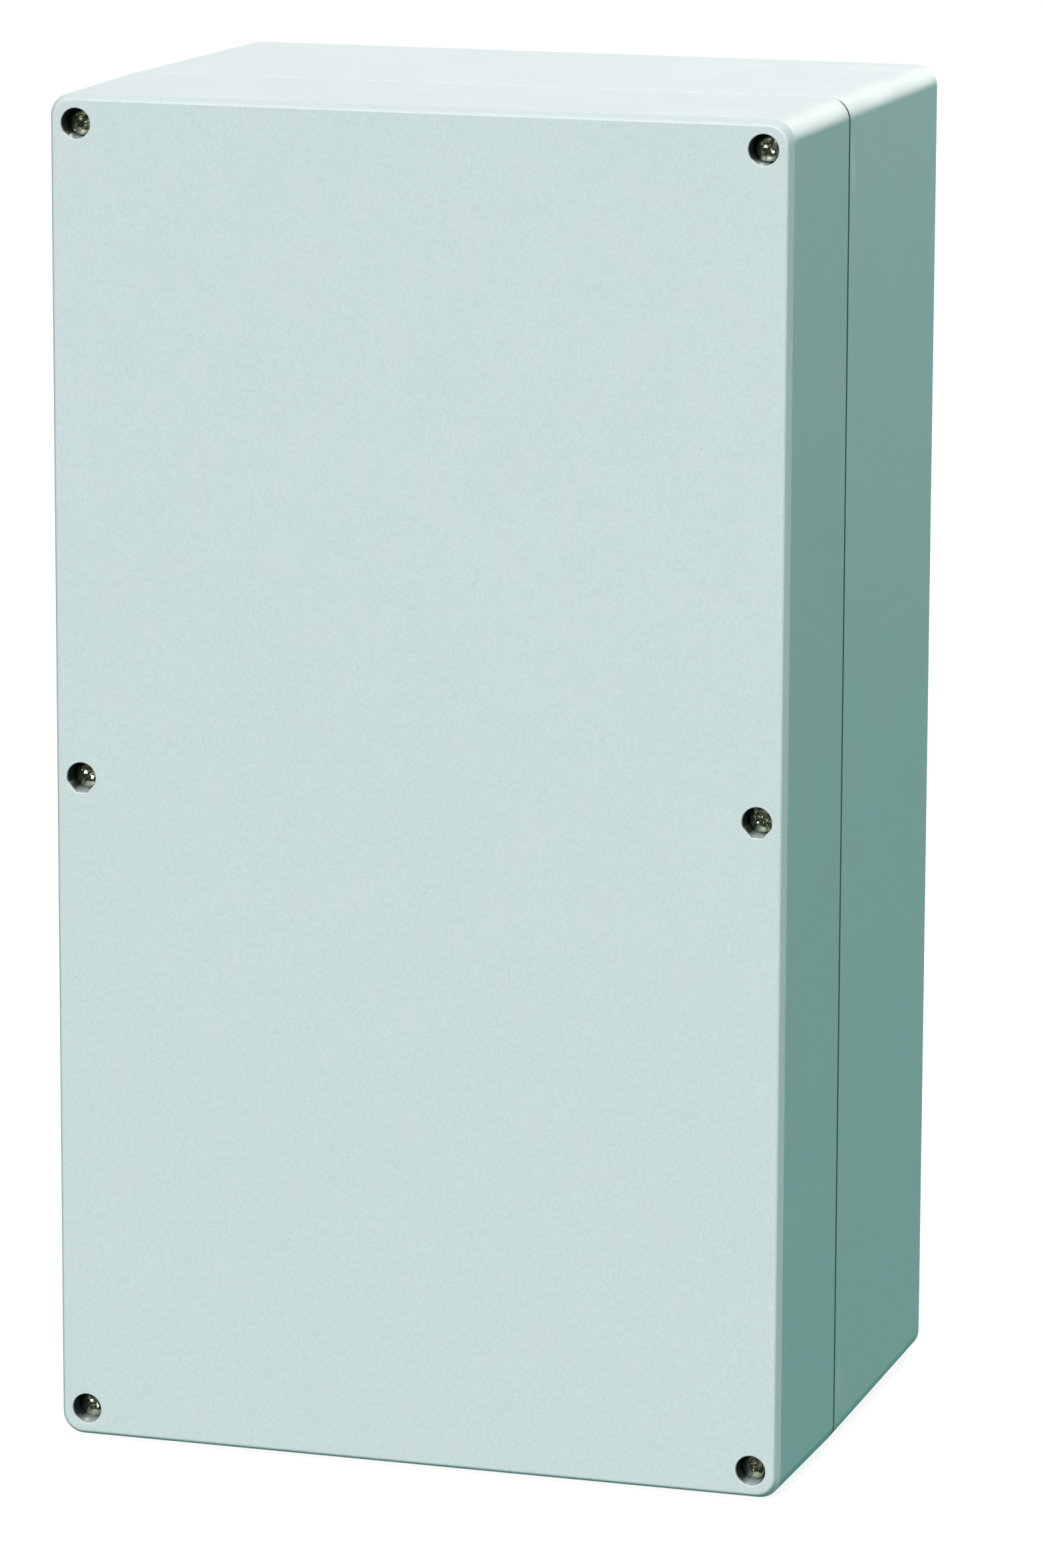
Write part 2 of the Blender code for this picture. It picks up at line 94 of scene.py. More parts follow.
# Walls, columns and seal
BASE_WALL = 4.0 * MM
BASE_FLOOR = 4.0 * MM
COVER_WALL = 5.2 * MM
COVER_FRONT = 3.5 * MM
INNER_FILLET = 1.0 * MM
EJECTOR_COLUMNS = (-55 * MM, 0.0, 55 * MM)
EJECTOR_ROWS = (-130 * MM, -45 * MM, 45 * MM, 130 * MM)
EJECTOR_RADIUS = 3.0 * MM
EJECTOR_DEPTH = 0.15 * MM
BACK_FIELD_INSET = 5.5 * MM
BACK_FIELD_DEPTH = 0.8 * MM
BACK_FIELD_SLOPE = 0.15 * MM
COLUMN_WIDTH = 12.5 * MM
CORNER_COLUMN_HEIGHT = 28.5 * MM
MIDDLE_COLUMN_HEIGHT = 15.0 * MM
COLUMN_ROUND = 2.0 * MM
SEAL_ROUND = 7.0 * MM
TONGUE_SIDES = (1.8 * MM, 3.4 * MM)
GROOVE_SIDES = (1.3 * MM, 4.1 * MM)
GROOVE_DEPTH = 6.0 * MM
GASKET_SIDES = (1.6 * MM, 3.8 * MM)
GASKET_DENT = 0.2 * MM
GASKET_DENT_SIDE = 0.12 * MM

# Screw holes
HOLE_LEAD = 0.3 * MM
COUNTERBORE_RADIUS = 4.0 * MM
COUNTERBORE_ROUND = 0.3 * MM
WITNESS_RADIUS = 4.85 * MM
WITNESS_WIDTH = 0.3 * MM
WITNESS_DEPTH = 0.05 * MM
SEAT_DEPTH = 8.9 * MM
TUBE_RADIUS = 2.4 * MM
NECK_RADIUS = 1.8 * MM
NECK_FRONT = 46.2 * MM
NECK_LENGTH = 1.5 * MM
FIXING_FROM_END = 23.0 * MM
FIXING_RADIUS = 2.7 * MM
FIXING_CHANNEL_RADIUS = 4.6 * MM
FIXING_SEAT = 6.0 * MM
CORE_RADIUS = 3.2 * MM
CORE_DEPTH = 68.0 * MM
POCKET_DEPTH = 45.0 * MM
POCKET_SIZE = (8.0 * MM, 12.6 * MM)
POCKET_ROUND = 1.5 * MM
INSERT_HOLE_RADIUS = 3.1 * MM
TIP_CLEARANCE = 14.0 * MM

# Fasteners
PITCH = 0.7 * MM
THREAD_DEPTH = 0.43 * MM
HEAD_RADIUS = 3.5 * MM
HEAD_CLEARANCE = 0.3 * MM
HEAD_DOME = 0.3 * MM
DOME_RADIUS = 3.05 * MM
SHANK_RADIUS = 1.5 * MM
THREAD_RADIUS = 2.0 * MM
SLOT_WIDTH = 1.1 * MM
SLOT_DEPTH = 1.0 * MM
SLOT_FLARE = 0.14 * MM
CROSS_FLARE = 0.2 * MM
SLOT_ANGLES = {"top_left": 43, "top_right": 62, "middle_left": 66, "middle_right": 124,
               "bottom_left": 62, "bottom_right": 53}
RING_SIDES = (3.6 * MM, 1.8 * MM)
INSERT_RADIUS = 2.8 * MM
INSERT_BORE = 2.3 * MM
KNURL_BANDS = ((0.12, 0.42), (0.58, 0.9))
KNURLS = 24
KNURL_DEPTH = 0.12 * MM
INSERT_STEPS = 96
BOSS_RADIUS = 6.0 * MM
BOSS_GAP = 0.3 * MM
FIN_WIDTHS = (1.5 * MM, 1.7 * MM)
FIN_REACHES = (BOSS_RADIUS * 2.2, BOSS_RADIUS * 3.4)
PILOT_RADIUS = 2.4 * MM
PILOT_DEPTH = 8.0 * MM
PAN_RADIUS = 4.2 * MM
PAN_HEIGHT = 2.6 * MM
PAN_SHANK_RADIUS = 2.1 * MM
PAN_TURNS = {"left": 20, "right": 65}
PAN_ROW_TURN = 31

# Plate and rails
PLATE_CORNER = 4 * MM
PLATE_SOFT = 0.25 * MM
PLATE_LEAD = 0.2 * MM
RAIL_WEB = 13.5 * MM
RAIL_SHEET = 1.0 * MM
RAIL_BENDS = (1.2 * MM, 0.3 * MM, 0.2 * MM, 0.2 * MM, 1.2 * MM, 0.3 * MM)
RAIL_SLOT_COUNT = 6
RAIL_SLOT_PITCH = 25 * MM
RAIL_SLOT = (15 * MM, 6.2 * MM, 3.09 * MM)

ARC_STEPS = 8
BEND_STEPS = 5
CIRCLE_STEPS = 64
PAST = 1.0 * MM
SHARP_ANGLE = math.radians(32)


# Outlines

def direction(start, end):
    length = math.hypot(end[0] - start[0], end[1] - start[1])
    return (end[0] - start[0]) / length, (end[1] - start[1]) / length


def corner_arc(corner, into, out, radius, steps):
    """Arc that rounds a right-angled corner between the directions into it and out of it."""
    arc = []
    for step in range(steps + 1):
        angle = math.pi / 2 * step / steps
        along_in = radius * (math.sin(angle) - 1)
        along_out = radius * (1 - math.cos(angle))
        arc.append(tuple(corner[k] + into[k] * along_in + out[k] * along_out for k in (0, 1)))
    return arc


def rounded(corners, radius_at):
    """Polygon with an arc at each corner; radius_at is given whether the corner turns left."""
    outline = []
    for i, corner in enumerate(corners):
        into = direction(corners[i - 1], corner)
        out = direction(corner, corners[(i + 1) % len(corners)])
        radius = radius_at(into[0] * out[1] - into[1] * out[0] > 0)
        outline += corner_arc(corner, into, out, radius, ARC_STEPS)
    return outline


def rectangle(width, height, radius):
    x, z = width / 2, height / 2
    return rounded([(x, -z), (x, z), (-x, z), (-x, -z)], lambda left: radius)


def shifted(outline, centre):
    return [(centre[0] + x, centre[1] + z) for x, z in outline]


def drafted(y):
    return max(0.0, abs(y - PARTING_Y) - PARTING_GAP / 2) * DRAFT


def case_outline(y, inset=0.0):
    inset += drafted(y)
    return rectangle(WIDTH - 2 * inset, HEIGHT - 2 * inset, CORNER_RADIUS - inset / 2)


def seal_outline(inset):
    """Line that follows the case's edge, this far inside it, and goes round the six columns."""
    side = WIDTH / 2 - inset
    inner = side - COLUMN_WIDTH
    end = HEIGHT / 2 - inset
    corner = end - CORNER_COLUMN_HEIGHT
    middle = MIDDLE_COLUMN_HEIGHT / 2 + inset
    quarter = [(inner, middle), (side, middle), (side, corner), (inner, corner), (inner, end)]
    upper = quarter + [(-x, z) for x, z in reversed(quarter)]
    lower = [(-x, -z) for x, z in upper]
    return rounded(upper + lower,
                   lambda left: SEAL_ROUND - inset if left else COLUMN_ROUND + inset)


def bore_outline(radius, facets):
    """Circle whose lower part is a few flats, given as (angle, radius factor) corners in order."""
    angles = [math.radians(angle) for angle, factor in facets]
    outline = [(radius * factor * math.cos(a), radius * factor * math.sin(a))
               for a, (angle, factor) in zip(angles, facets)]
    start, end = angles[-1], angles[0] + 2 * math.pi
    for i in range(1, CIRCLE_STEPS):
        a = start + (end - start) * i / CIRCLE_STEPS
        outline.append((radius * math.cos(a), radius * math.sin(a)))
    return outline


def round_points(radius, start, end, steps):
    """(along, across) points of an arc round the origin, from one angle to another in degrees."""
    span = [math.radians(start + (end - start) * i / steps) for i in range(steps + 1)]
    return [(radius * math.cos(a), radius * math.sin(a)) for a in span]


# Meshes

def loft(sections, closed=False):
    """Mesh through (y, outline) sections, with flat ends, or joined end to start where closed."""
    shape = bmesh.new()
    rings = [[shape.verts.new((x, y, z)) for x, z in outline] for y, outline in sections]
    for near, far in zip(rings, rings[1:] + (rings[:1] if closed else [])):
        for i in range(len(near)):
            j = (i + 1) % len(near)
            shape.faces.new((near[i], near[j], far[j], far[i]))
    if not closed:
        shape.faces.new(rings[0])
        shape.faces.new(rings[-1])
    bmesh.ops.recalc_face_normals(shape, faces=shape.faces)
    return shape


def round_sections(profile, centre=(0.0, 0.0), extra=None, steps=CIRCLE_STEPS):
    """Round sections at (y, radius) points; extra(y, angle) adds to the radius."""
    sections = []
    for y, radius in profile:
        outline = []
        for i in range(steps):
            angle = 2 * math.pi * i / steps
            r = radius + (extra(y, angle) if extra else 0.0)
            outline.append((centre[0] + r * math.cos(angle), centre[1] + r * math.sin(angle)))
        sections.append((y, outline))
    return sections


def turned(profile, centre=(0.0, 0.0), extra=None, steps=CIRCLE_STEPS, closed=False):
    """Solid of revolution about Y with flat ends, or a ring where closed."""
    return loft(round_sections(profile, centre, extra, steps), closed)


def seal_ring(profile):
    """Closed ring along the seal line through (y, inset) points."""
    return loft([(y, seal_outline(inset)) for y, inset in profile], closed=True)


def wedge(top, bottom, top_y, bottom_y, flare=0.0, flare_y=0.0):
    """Block that tapers between two (x, z) sizes and opens out above flare_y by the flare."""
    sections = []
    sizes = [(top_y, top), (bottom_y, bottom)]
    if flare:
        part = (flare_y - top_y) / (bottom_y - top_y)
        neck = tuple(a + (b - a) * part for a, b in zip(top, bottom))
        reach = flare_y - top_y + flare
        sizes = [(top_y, tuple(a + 2 * reach for a in neck)), (flare_y + flare, neck),
                 (bottom_y, bottom)]
    for y, (x, z) in sizes:
        sections.append((y, [(x / 2, -z / 2), (x / 2, z / 2), (-x / 2, z / 2), (-x / 2, -z / 2)]))
    return loft(sections)


def joined(shapes):
    whole = bmesh.new()
    for shape in shapes:
        part = bpy.data.meshes.new("part")
        shape.to_mesh(part)
        shape.free()
        whole.from_mesh(part)
        bpy.data.meshes.remove(part)
    return whole


def moved(shape, x=0.0, y=0.0, z=0.0):
    bmesh.ops.translate(shape, vec=(x, y, z), verts=shape.verts)
    return shape


def spun(shape, degrees):
    """Turned about Y, anticlockwise as seen from the front."""
    turn = Matrix.Rotation(-math.radians(degrees), 3, "Y")
    bmesh.ops.rotate(shape, matrix=turn, verts=shape.verts)
    return shape


def plain_object(name, shape):
    mesh = bpy.data.meshes.new(name)
    shape.to_mesh(mesh)
    shape.free()
    obj = bpy.data.objects.new(name, mesh)
    bpy.context.scene.collection.objects.link(obj)
    return obj


def finished_mesh(name, shape, steps=()):
    """Mesh of a shape after (operation, shape) Boolean steps, smooth but for its sharp edges."""
    obj = plain_object(name, shape)
    for operation, other in steps:
        modifier = obj.modifiers.new(operation, "BOOLEAN")
        modifier.operation = operation
        modifier.solver = "EXACT"
        modifier.object = plain_object(name + "_tool", other)
    bpy.context.view_layer.update()
    graph = bpy.context.evaluated_depsgraph_get()
    mesh = bpy.data.meshes.new_from_object(obj.evaluated_get(graph))
    for temporary in [modifier.object for modifier in obj.modifiers] + [obj]:
        bpy.data.objects.remove(temporary, do_unlink=True)
    mesh.name = name
    mesh.shade_smooth()
    mesh.set_sharp_from_angle(angle=SHARP_ANGLE)
    return mesh


def piece(name, mesh, material, body, node, location=(0.0, 0.0, 0.0)):
    """Visible piece that rides on a body and stands for a CAD node."""
    obj = bpy.data.objects.new(name, mesh)
    bpy.context.scene.collection.objects.link(obj)
    obj.location = location
    if not mesh.materials:
        mesh.materials.append(material)
    smooth = obj.modifiers.new("even_shading", "WEIGHTED_NORMAL")
    smooth.keep_sharp = True
    smooth.weight = 100
    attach(obj, body)
    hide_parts(node)
    return obj


def centre_of(node):
    low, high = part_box(node)
    return (low + high) / 2


def screw_places():
    """(x, z) of each cover screw, round the case's centre."""
    centres = {name: centre_of("screw_ring_" + name) for name in SCREWS}
    return {name: (c.x, c.z - CENTRE_Z) for name, c in centres.items()}


def fixing_places():
    x = abs(centre_of("screw_ring_top_left").x)
    z = HEIGHT / 2 - FIXING_FROM_END
    return [(sx * x, sz * z) for sx in (-1, 1) for sz in (-1, 1)]


def boss_places():
    centres = [centre_of("plate_screw_" + name) for name in CORNERS]
    return [(c.x, c.z - CENTRE_Z) for c in centres]


# Cover

def front_edge():
    """(y, inset) points from the side's crease, up the leaning facet and onto the flat front."""
    crease_y = FRONT_Y + CREASE_DEPTH
    points = []
    tangent = CREASE_ROUND * math.tan(FACET_LEAN / 2)
    for i in range(4):
        angle = FACET_LEAN * i / 3
        points.append((crease_y + tangent - CREASE_ROUND * math.sin(angle),
                       CREASE_ROUND * (1 - math.cos(angle))))
    facet_inset = FACET_DEPTH * math.tan(FACET_LEAN)
    start_y = crease_y - FACET_DEPTH
    turn = math.pi / 2 - FACET_LEAN
    radius = (start_y - FRONT_Y) / (1 - math.cos(turn))
    steps = 7
    for i in range(steps + 1):
        angle = turn * (1 - i / steps)
        points.append((FRONT_Y + radius * (1 - math.cos(angle)),
                       facet_inset + radius * (math.sin(turn) - math.sin(angle))))
    return points


def cover_body():
    lip_y = COVER_REAR_Y - LIP_WIDTH
    sections = [(y, case_outline(y, LIP_DEPTH)) for y in (COVER_REAR_Y, lip_y)]
    for along, across in round_points(RIM_ROUND, 0, 90, 3):
        y = lip_y - RIM_ROUND + along
        sections.append((y, case_outline(y, RIM_ROUND - across)))
    for y, inset in front_edge():
        sections.append((y, case_outline(y, inset)))
    return loft(sections)


def cover_cavity():
    floor_y = FRONT_Y + COVER_FRONT
    sections = [(COVER_REAR_Y + PAST, seal_outline(COVER_WALL))]
    for along, across in round_points(INNER_FILLET, 0, 90, 4):
        y = floor_y + INNER_FILLET - across
        sections.append((y, seal_outline(COVER_WALL + drafted(floor_y) + INNER_FILLET - along)))
    return loft(sections)


def groove():
    outer, inner = GROOVE_SIDES
    bottom = PARTING_Y - GROOVE_DEPTH
    lead = 0.25 * MM
    return seal_ring([
        (COVER_REAR_Y + PAST, outer - lead),
        (COVER_REAR_Y, outer - lead),
        (COVER_REAR_Y - lead, outer),
        (bottom + 0.5 * MM, outer),
        (bottom, outer + 0.5 * MM),
        (bottom, inner - 0.5 * MM),
        (bottom + 0.5 * MM, inner),
        (COVER_REAR_Y - lead, inner),
        (COVER_REAR_Y, inner + lead),
        (COVER_REAR_Y + PAST, inner + lead),
    ])


def screw_tube(place, facets):
    """Counterbore with a rounded rim, seat, tube and neck of one cover screw."""
    rim = [(FRONT_Y - PAST, COUNTERBORE_RADIUS + COUNTERBORE_ROUND)]
    for along, across in round_points(COUNTERBORE_ROUND, 90, 180, 6):
        rim.append((FRONT_Y + COUNTERBORE_ROUND - across,
                    COUNTERBORE_RADIUS + COUNTERBORE_ROUND + along))
    sections = [(y, shifted(bore_outline(radius, facets), place)) for y, radius in rim]
    seat_y = FRONT_Y + SEAT_DEPTH
    neck_y = FRONT_Y + NECK_FRONT
    for y, radius in ((seat_y, COUNTERBORE_RADIUS), (seat_y, TUBE_RADIUS), (neck_y, TUBE_RADIUS),
                      (neck_y, NECK_RADIUS), (neck_y + NECK_LENGTH, NECK_RADIUS),
                      (neck_y + NECK_LENGTH, TUBE_RADIUS), (COVER_REAR_Y + PAST, TUBE_RADIUS)):
        sections.append((y, shifted(bore_outline(radius, facets), place)))
    return loft(sections)


def witness_ring(place):
    """Shallow line that the mould's pin leaves round a screw hole."""
    inner, outer = WITNESS_RADIUS - WITNESS_WIDTH / 2, WITNESS_RADIUS + WITNESS_WIDTH / 2
    bottom = FRONT_Y + WITNESS_DEPTH
    return turned([(FRONT_Y - PAST, inner), (FRONT_Y, inner), (bottom, inner + WITNESS_WIDTH / 3),
                   (bottom, outer - WITNESS_WIDTH / 3), (FRONT_Y, outer), (FRONT_Y - PAST, outer)],
                  place, closed=True)


def fixing_pocket(place):
    outline = shifted(rectangle(*POCKET_SIZE, POCKET_ROUND), place)
    return loft([(COVER_REAR_Y - POCKET_DEPTH, outline), (COVER_REAR_Y + PAST, outline)])


def ejector_marks():
    """Round marks inside the cover's front."""
    floor_y = FRONT_Y + COVER_FRONT
    profile = [(floor_y - EJECTOR_DEPTH, EJECTOR_RADIUS), (floor_y + PAST / 2, EJECTOR_RADIUS)]
    return [turned(profile, (x, z)) for x in EJECTOR_COLUMNS for z in EJECTOR_ROWS]


def bore_facets(name):
    """The middle holes have a flat-sided lower half, the others a flat at the lower left."""
    if name.startswith("middle"):
        return [(-158, 1.0), (-110, 1.05), (-68, 1.09), (-22, 1.0)]
    return [(-140, 1.0), (-112, 1.0)]


def make_cover(material):
    places = screw_places()
    painted_bore_shade = [screw_tube(places[name], bore_facets(name)) for name in SCREWS]
    painted_bore_shade += [fixing_pocket(place) for place in fixing_places()]
    rings = [witness_ring(place) for place in places.values()]
    steps = [
        ("DIFFERENCE", moved(cover_cavity(), z=CENTRE_Z)),
        ("DIFFERENCE", moved(groove(), z=CENTRE_Z)),
        ("DIFFERENCE", moved(joined(painted_bore_shade), z=CENTRE_Z)),
        ("DIFFERENCE", moved(joined(rings), z=CENTRE_Z)),
        ("DIFFERENCE", moved(joined(ejector_marks()), z=CENTRE_Z)),
    ]
    mesh = finished_mesh("cover_moulding", moved(cover_body(), z=CENTRE_Z), steps)
    piece("cover_moulding", mesh, material, "cover", "cover")


def make_gasket(material):
    """Foam cord, dented along its middle where the tongue presses it."""
    low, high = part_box("cover_gasket")
    outer, inner = GASKET_SIDES
    soft = 0.5 * MM
    middle = (outer + inner) / 2
    shape = seal_ring([
        (low.y, outer + soft), (low.y + soft * 0.3, outer + soft * 0.3), (low.y + soft, outer),
        (high.y - soft, outer), (high.y - soft * 0.3, outer + soft * 0.3), (high.y, outer + soft),
        (high.y - GASKET_DENT_SIDE, middle - soft), (high.y - GASKET_DENT, middle),
        (high.y - GASKET_DENT_SIDE, middle + soft),
        (high.y, inner - soft), (high.y - soft * 0.3, inner - soft * 0.3), (high.y - soft, inner),
        (low.y + soft, inner), (low.y + soft * 0.3, inner - soft * 0.3), (low.y, inner - soft),
    ])
    mesh = finished_mesh("gasket_cord", moved(shape, z=CENTRE_Z))
    piece("gasket_cord", mesh, material, "cover", "cover_gasket")


# Case

def base_body():
    sections = []
    for along, across in round_points(BASE_RIM_ROUND, 0, 90, 4):
        y = BASE_RIM_Y + BASE_RIM_ROUND - along
        sections.append((y, case_outline(y, BASE_RIM_ROUND - across)))
    for along, across in round_points(BACK_ROUND, 0, 90, 6):
        y = BACK_Y - BACK_ROUND + across
        sections.append((y, case_outline(y, BACK_ROUND - along)))
    return loft(sections)


def base_cavity():
    floor_y = BACK_Y - BASE_FLOOR
    sections = [(BASE_RIM_Y - PAST, seal_outline(BASE_WALL))]
    for along, across in round_points(INNER_FILLET, 0, 90, 4):
        y = floor_y - INNER_FILLET + across
        sections.append((y, seal_outline(BASE_WALL + drafted(floor_y) + INNER_FILLET - along)))
    return loft(sections)


def tongue():
    outer, inner = TONGUE_SIDES
    soft = 0.4 * MM
    return seal_ring([
        (BASE_RIM_Y + PAST, outer), (TONGUE_TIP_Y + soft, outer),
        (TONGUE_TIP_Y + soft * 0.3, outer + soft * 0.3), (TONGUE_TIP_Y, outer + soft),
        (TONGUE_TIP_Y, inner - soft), (TONGUE_TIP_Y + soft * 0.3, inner - soft * 0.3),
        (TONGUE_TIP_Y + soft, inner), (BASE_RIM_Y + PAST, inner),
    ])


def boss_top():
    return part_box("mounting_plate")[1].y + BOSS_GAP


def boss(place):
    """Round boss with four fins that carries the mounting plate."""
    foot_y = BACK_Y - BASE_FLOOR + PAST
    top_y = boss_top()
    post = turned([(top_y, BOSS_RADIUS - HOLE_LEAD), (top_y + HOLE_LEAD, BOSS_RADIUS),
                   (foot_y, BOSS_RADIUS)], place)
    top, foot = zip(FIN_REACHES, FIN_WIDTHS)
    fins = [wedge(a, b, top_y + 2 * MM, foot_y) for a, b in ((top, foot), (top[::-1], foot[::-1]))]
    return post, [moved(fin, x=place[0], z=place[1]) for fin in fins]


def base_holes():
    def front_lead(radius):
        return [(BASE_RIM_Y - PAST, radius + HOLE_LEAD), (BASE_RIM_Y, radius + HOLE_LEAD),
                (BASE_RIM_Y + HOLE_LEAD, radius)]

    def back_lead(radius):
        return [(BACK_Y - HOLE_LEAD, radius), (BACK_Y, radius + HOLE_LEAD),
                (BACK_Y + PAST, radius + HOLE_LEAD)]

    end_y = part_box("thread_insert_top_left")[1].y + 0.3 * MM
    seat_y = BACK_Y - FIXING_SEAT
    insert = front_lead(INSERT_HOLE_RADIUS) + [
        (end_y, INSERT_HOLE_RADIUS), (end_y, TUBE_RADIUS), (PARTING_Y + TIP_CLEARANCE, TUBE_RADIUS)]
    core = [(BACK_Y - CORE_DEPTH, CORE_RADIUS * 0.9)] + back_lead(CORE_RADIUS)
    fixing = front_lead(FIXING_CHANNEL_RADIUS) + [
        (seat_y, FIXING_CHANNEL_RADIUS), (seat_y, FIXING_RADIUS)] + back_lead(FIXING_RADIUS)
    pilot = [(boss_top() - PAST, PILOT_RADIUS), (boss_top() + PILOT_DEPTH, PILOT_RADIUS)]
    holes = []
    for place in screw_places().values():
        holes += [turned(insert, place), turned(core, place)]
    holes += [turned(fixing, place) for place in fixing_places()]
    holes += [turned(pilot, place) for place in boss_places()]
    return holes


def back_field():
    """Cutter for the shallow sunk field in the case's back."""
    shallow, deep = (seal_outline(BACK_FIELD_INSET + slope) for slope in (0.0, BACK_FIELD_SLOPE))
    return loft([(BACK_Y - BACK_FIELD_DEPTH, deep), (BACK_Y + PAST, shallow)])


def make_base(material):
    bosses = [boss(place) for place in boss_places()]
    steps = [
        ("DIFFERENCE", moved(base_cavity(), z=CENTRE_Z)),
        ("UNION", moved(tongue(), z=CENTRE_Z)),
        ("UNION", moved(joined([post for post, fins in bosses]), z=CENTRE_Z)),
        ("UNION", moved(joined([fins[0] for post, fins in bosses]), z=CENTRE_Z)),
        ("UNION", moved(joined([fins[1] for post, fins in bosses]), z=CENTRE_Z)),
        ("DIFFERENCE", moved(joined(base_holes()), z=CENTRE_Z)),
        ("DIFFERENCE", moved(back_field(), z=CENTRE_Z)),
    ]
    mesh = finished_mesh("case_moulding", moved(base_body(), z=CENTRE_Z), steps)
    piece("case_moulding", mesh, material, "case", "base")


# Fasteners

def helix(start, end, depth, inward=False):
    """Extra radius of a V thread between two depths along the axis, fading in and out."""
    def extra(y, angle):
        if not start <= y <= end:
            return 0.0
        turn = (y / PITCH - angle / (2 * math.pi)) % 1.0
        fade = min(1.0, (y - start) / PITCH, (end - y) / PITCH)
        wave = abs(2 * turn - 1) * depth * fade
        return wave if inward else -wave
    return extra


def thread_rows(start, end, radius):
    rows = max(2, round((end - start) / (PITCH / 8)))
    return [(start + (end - start) * i / rows, radius) for i in range(rows + 1)]


def cross_recess(top_y, span, width, depth, cone):
    """Cone and two tapering blades of a cross recess."""
    cone_shape = turned([(top_y - PAST, cone * 1.25), (top_y, cone * 1.15),
                         (top_y + depth * 0.8, cone * 0.6), (top_y + depth, cone * 0.15)], steps=32)
    lean = PAST / depth
    top, bottom = (span * (1 + 0.4 * lean), width * (1 + 0.15 * lean)), (span * 0.6, width * 0.85)
    blades = [wedge(size_top, size_bottom, top_y - PAST, top_y + depth * 0.85, CROSS_FLARE, top_y)
              for size_top, size_bottom in ((top, bottom), (top[::-1], bottom[::-1]))]
    return [cone_shape] + blades


def cover_screw_mesh():
    """Origin under the head, on the axis, which runs along +Y to the tip."""
    low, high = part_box("cover_screw_top_left")
    head_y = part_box("screw_ring_top_left")[0].y - HEAD_CLEARANCE
    top = low.y - head_y
    tip = high.y - head_y
    thread = PARTING_Y + 0.5 * MM - head_y
    profile = [(top + HEAD_DOME * (r * MM / DOME_RADIUS) ** 2, r * MM)
               for r in (0.05, 0.7, 1.3, 1.9, 2.4, 2.8, 3.05)]
    shoulder = HEAD_RADIUS - DOME_RADIUS
    for along, across in round_points(1.0, 70, 0, 5):
        profile.append((top + HEAD_DOME + shoulder * (1.06 - across),
                        DOME_RADIUS + shoulder * along))
    profile += [(-0.12 * MM, HEAD_RADIUS), (0.0, HEAD_RADIUS - 0.12 * MM),
                (0.0, SHANK_RADIUS + 0.15 * MM), (0.15 * MM, SHANK_RADIUS),
                (thread - 0.4 * MM, SHANK_RADIUS)]
    profile += thread_rows(thread, tip - 0.7 * MM, THREAD_RADIUS)
    profile += [(tip - 0.25 * MM, THREAD_RADIUS * 0.78), (tip, THREAD_RADIUS * 0.7)]
    body = turned(profile, extra=helix(thread, tip - 0.7 * MM, THREAD_DEPTH))
    length = 2.5 * HEAD_RADIUS
    slot = wedge((length, SLOT_WIDTH), (length, SLOT_WIDTH * 0.96), top - PAST, top + SLOT_DEPTH,
                 SLOT_FLARE, top)
    tools = [slot] + cross_recess(top, 4.9 * MM, 1.0 * MM, 2.3 * MM, 1.35 * MM)
    tick_top, tick_bottom = (6.0 * MM, 0.12 * MM), (5.6 * MM, 0.05 * MM)
    ticks = [spun(wedge(tick_top, tick_bottom, top - PAST, top + 0.42 * MM), angle)
             for angle in (45, 135)]
    return finished_mesh("cover_screw", body, [("DIFFERENCE", tool) for tool in tools + ticks])


def pan_screw_mesh(name, node):
    """Origin under the head, as for the cover screw."""
    low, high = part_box(node)
    top = -PAN_HEIGHT
    tip = high.y - (low.y + PAN_HEIGHT)
    profile = [(top + 0.9 * MM * (r / 3.9) ** 2, r * MM) for r in (0.05, 0.9, 1.8, 2.6, 3.3, 3.9)]
    profile += [(top + 1.25 * MM, 4.12 * MM), (top + 1.7 * MM, PAN_RADIUS),
                (-0.1 * MM, PAN_RADIUS), (0.0, PAN_RADIUS - 0.1 * MM), (0.0, PAN_SHANK_RADIUS)]
    profile += thread_rows(0.5 * MM, tip - 0.9 * MM, PAN_SHANK_RADIUS)
    profile += [(tip, PAN_SHANK_RADIUS * 0.6)]
    body = turned(profile, extra=helix(0.5 * MM, tip - 0.9 * MM, THREAD_DEPTH))
    tools = cross_recess(top, 4.4 * MM, 1.0 * MM, 2.1 * MM, 1.3 * MM)
    return finished_mesh(name, body, [("DIFFERENCE", tool) for tool in tools])


def ring_mesh():
    """Nylon ring under a screw's head, with soft edges."""
    low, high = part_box("screw_ring_top_left")
    thick = high.y - low.y
    (outer, inner), soft = RING_SIDES, 0.2 * MM
    profile = [(soft, outer), (thick - soft, outer), (thick, outer - soft), (thick, inner + soft),
               (thick - soft, inner), (soft, inner), (0.0, inner + soft), (0.0, outer - soft)]
    return finished_mesh("screw_ring", turned(profile, closed=True))


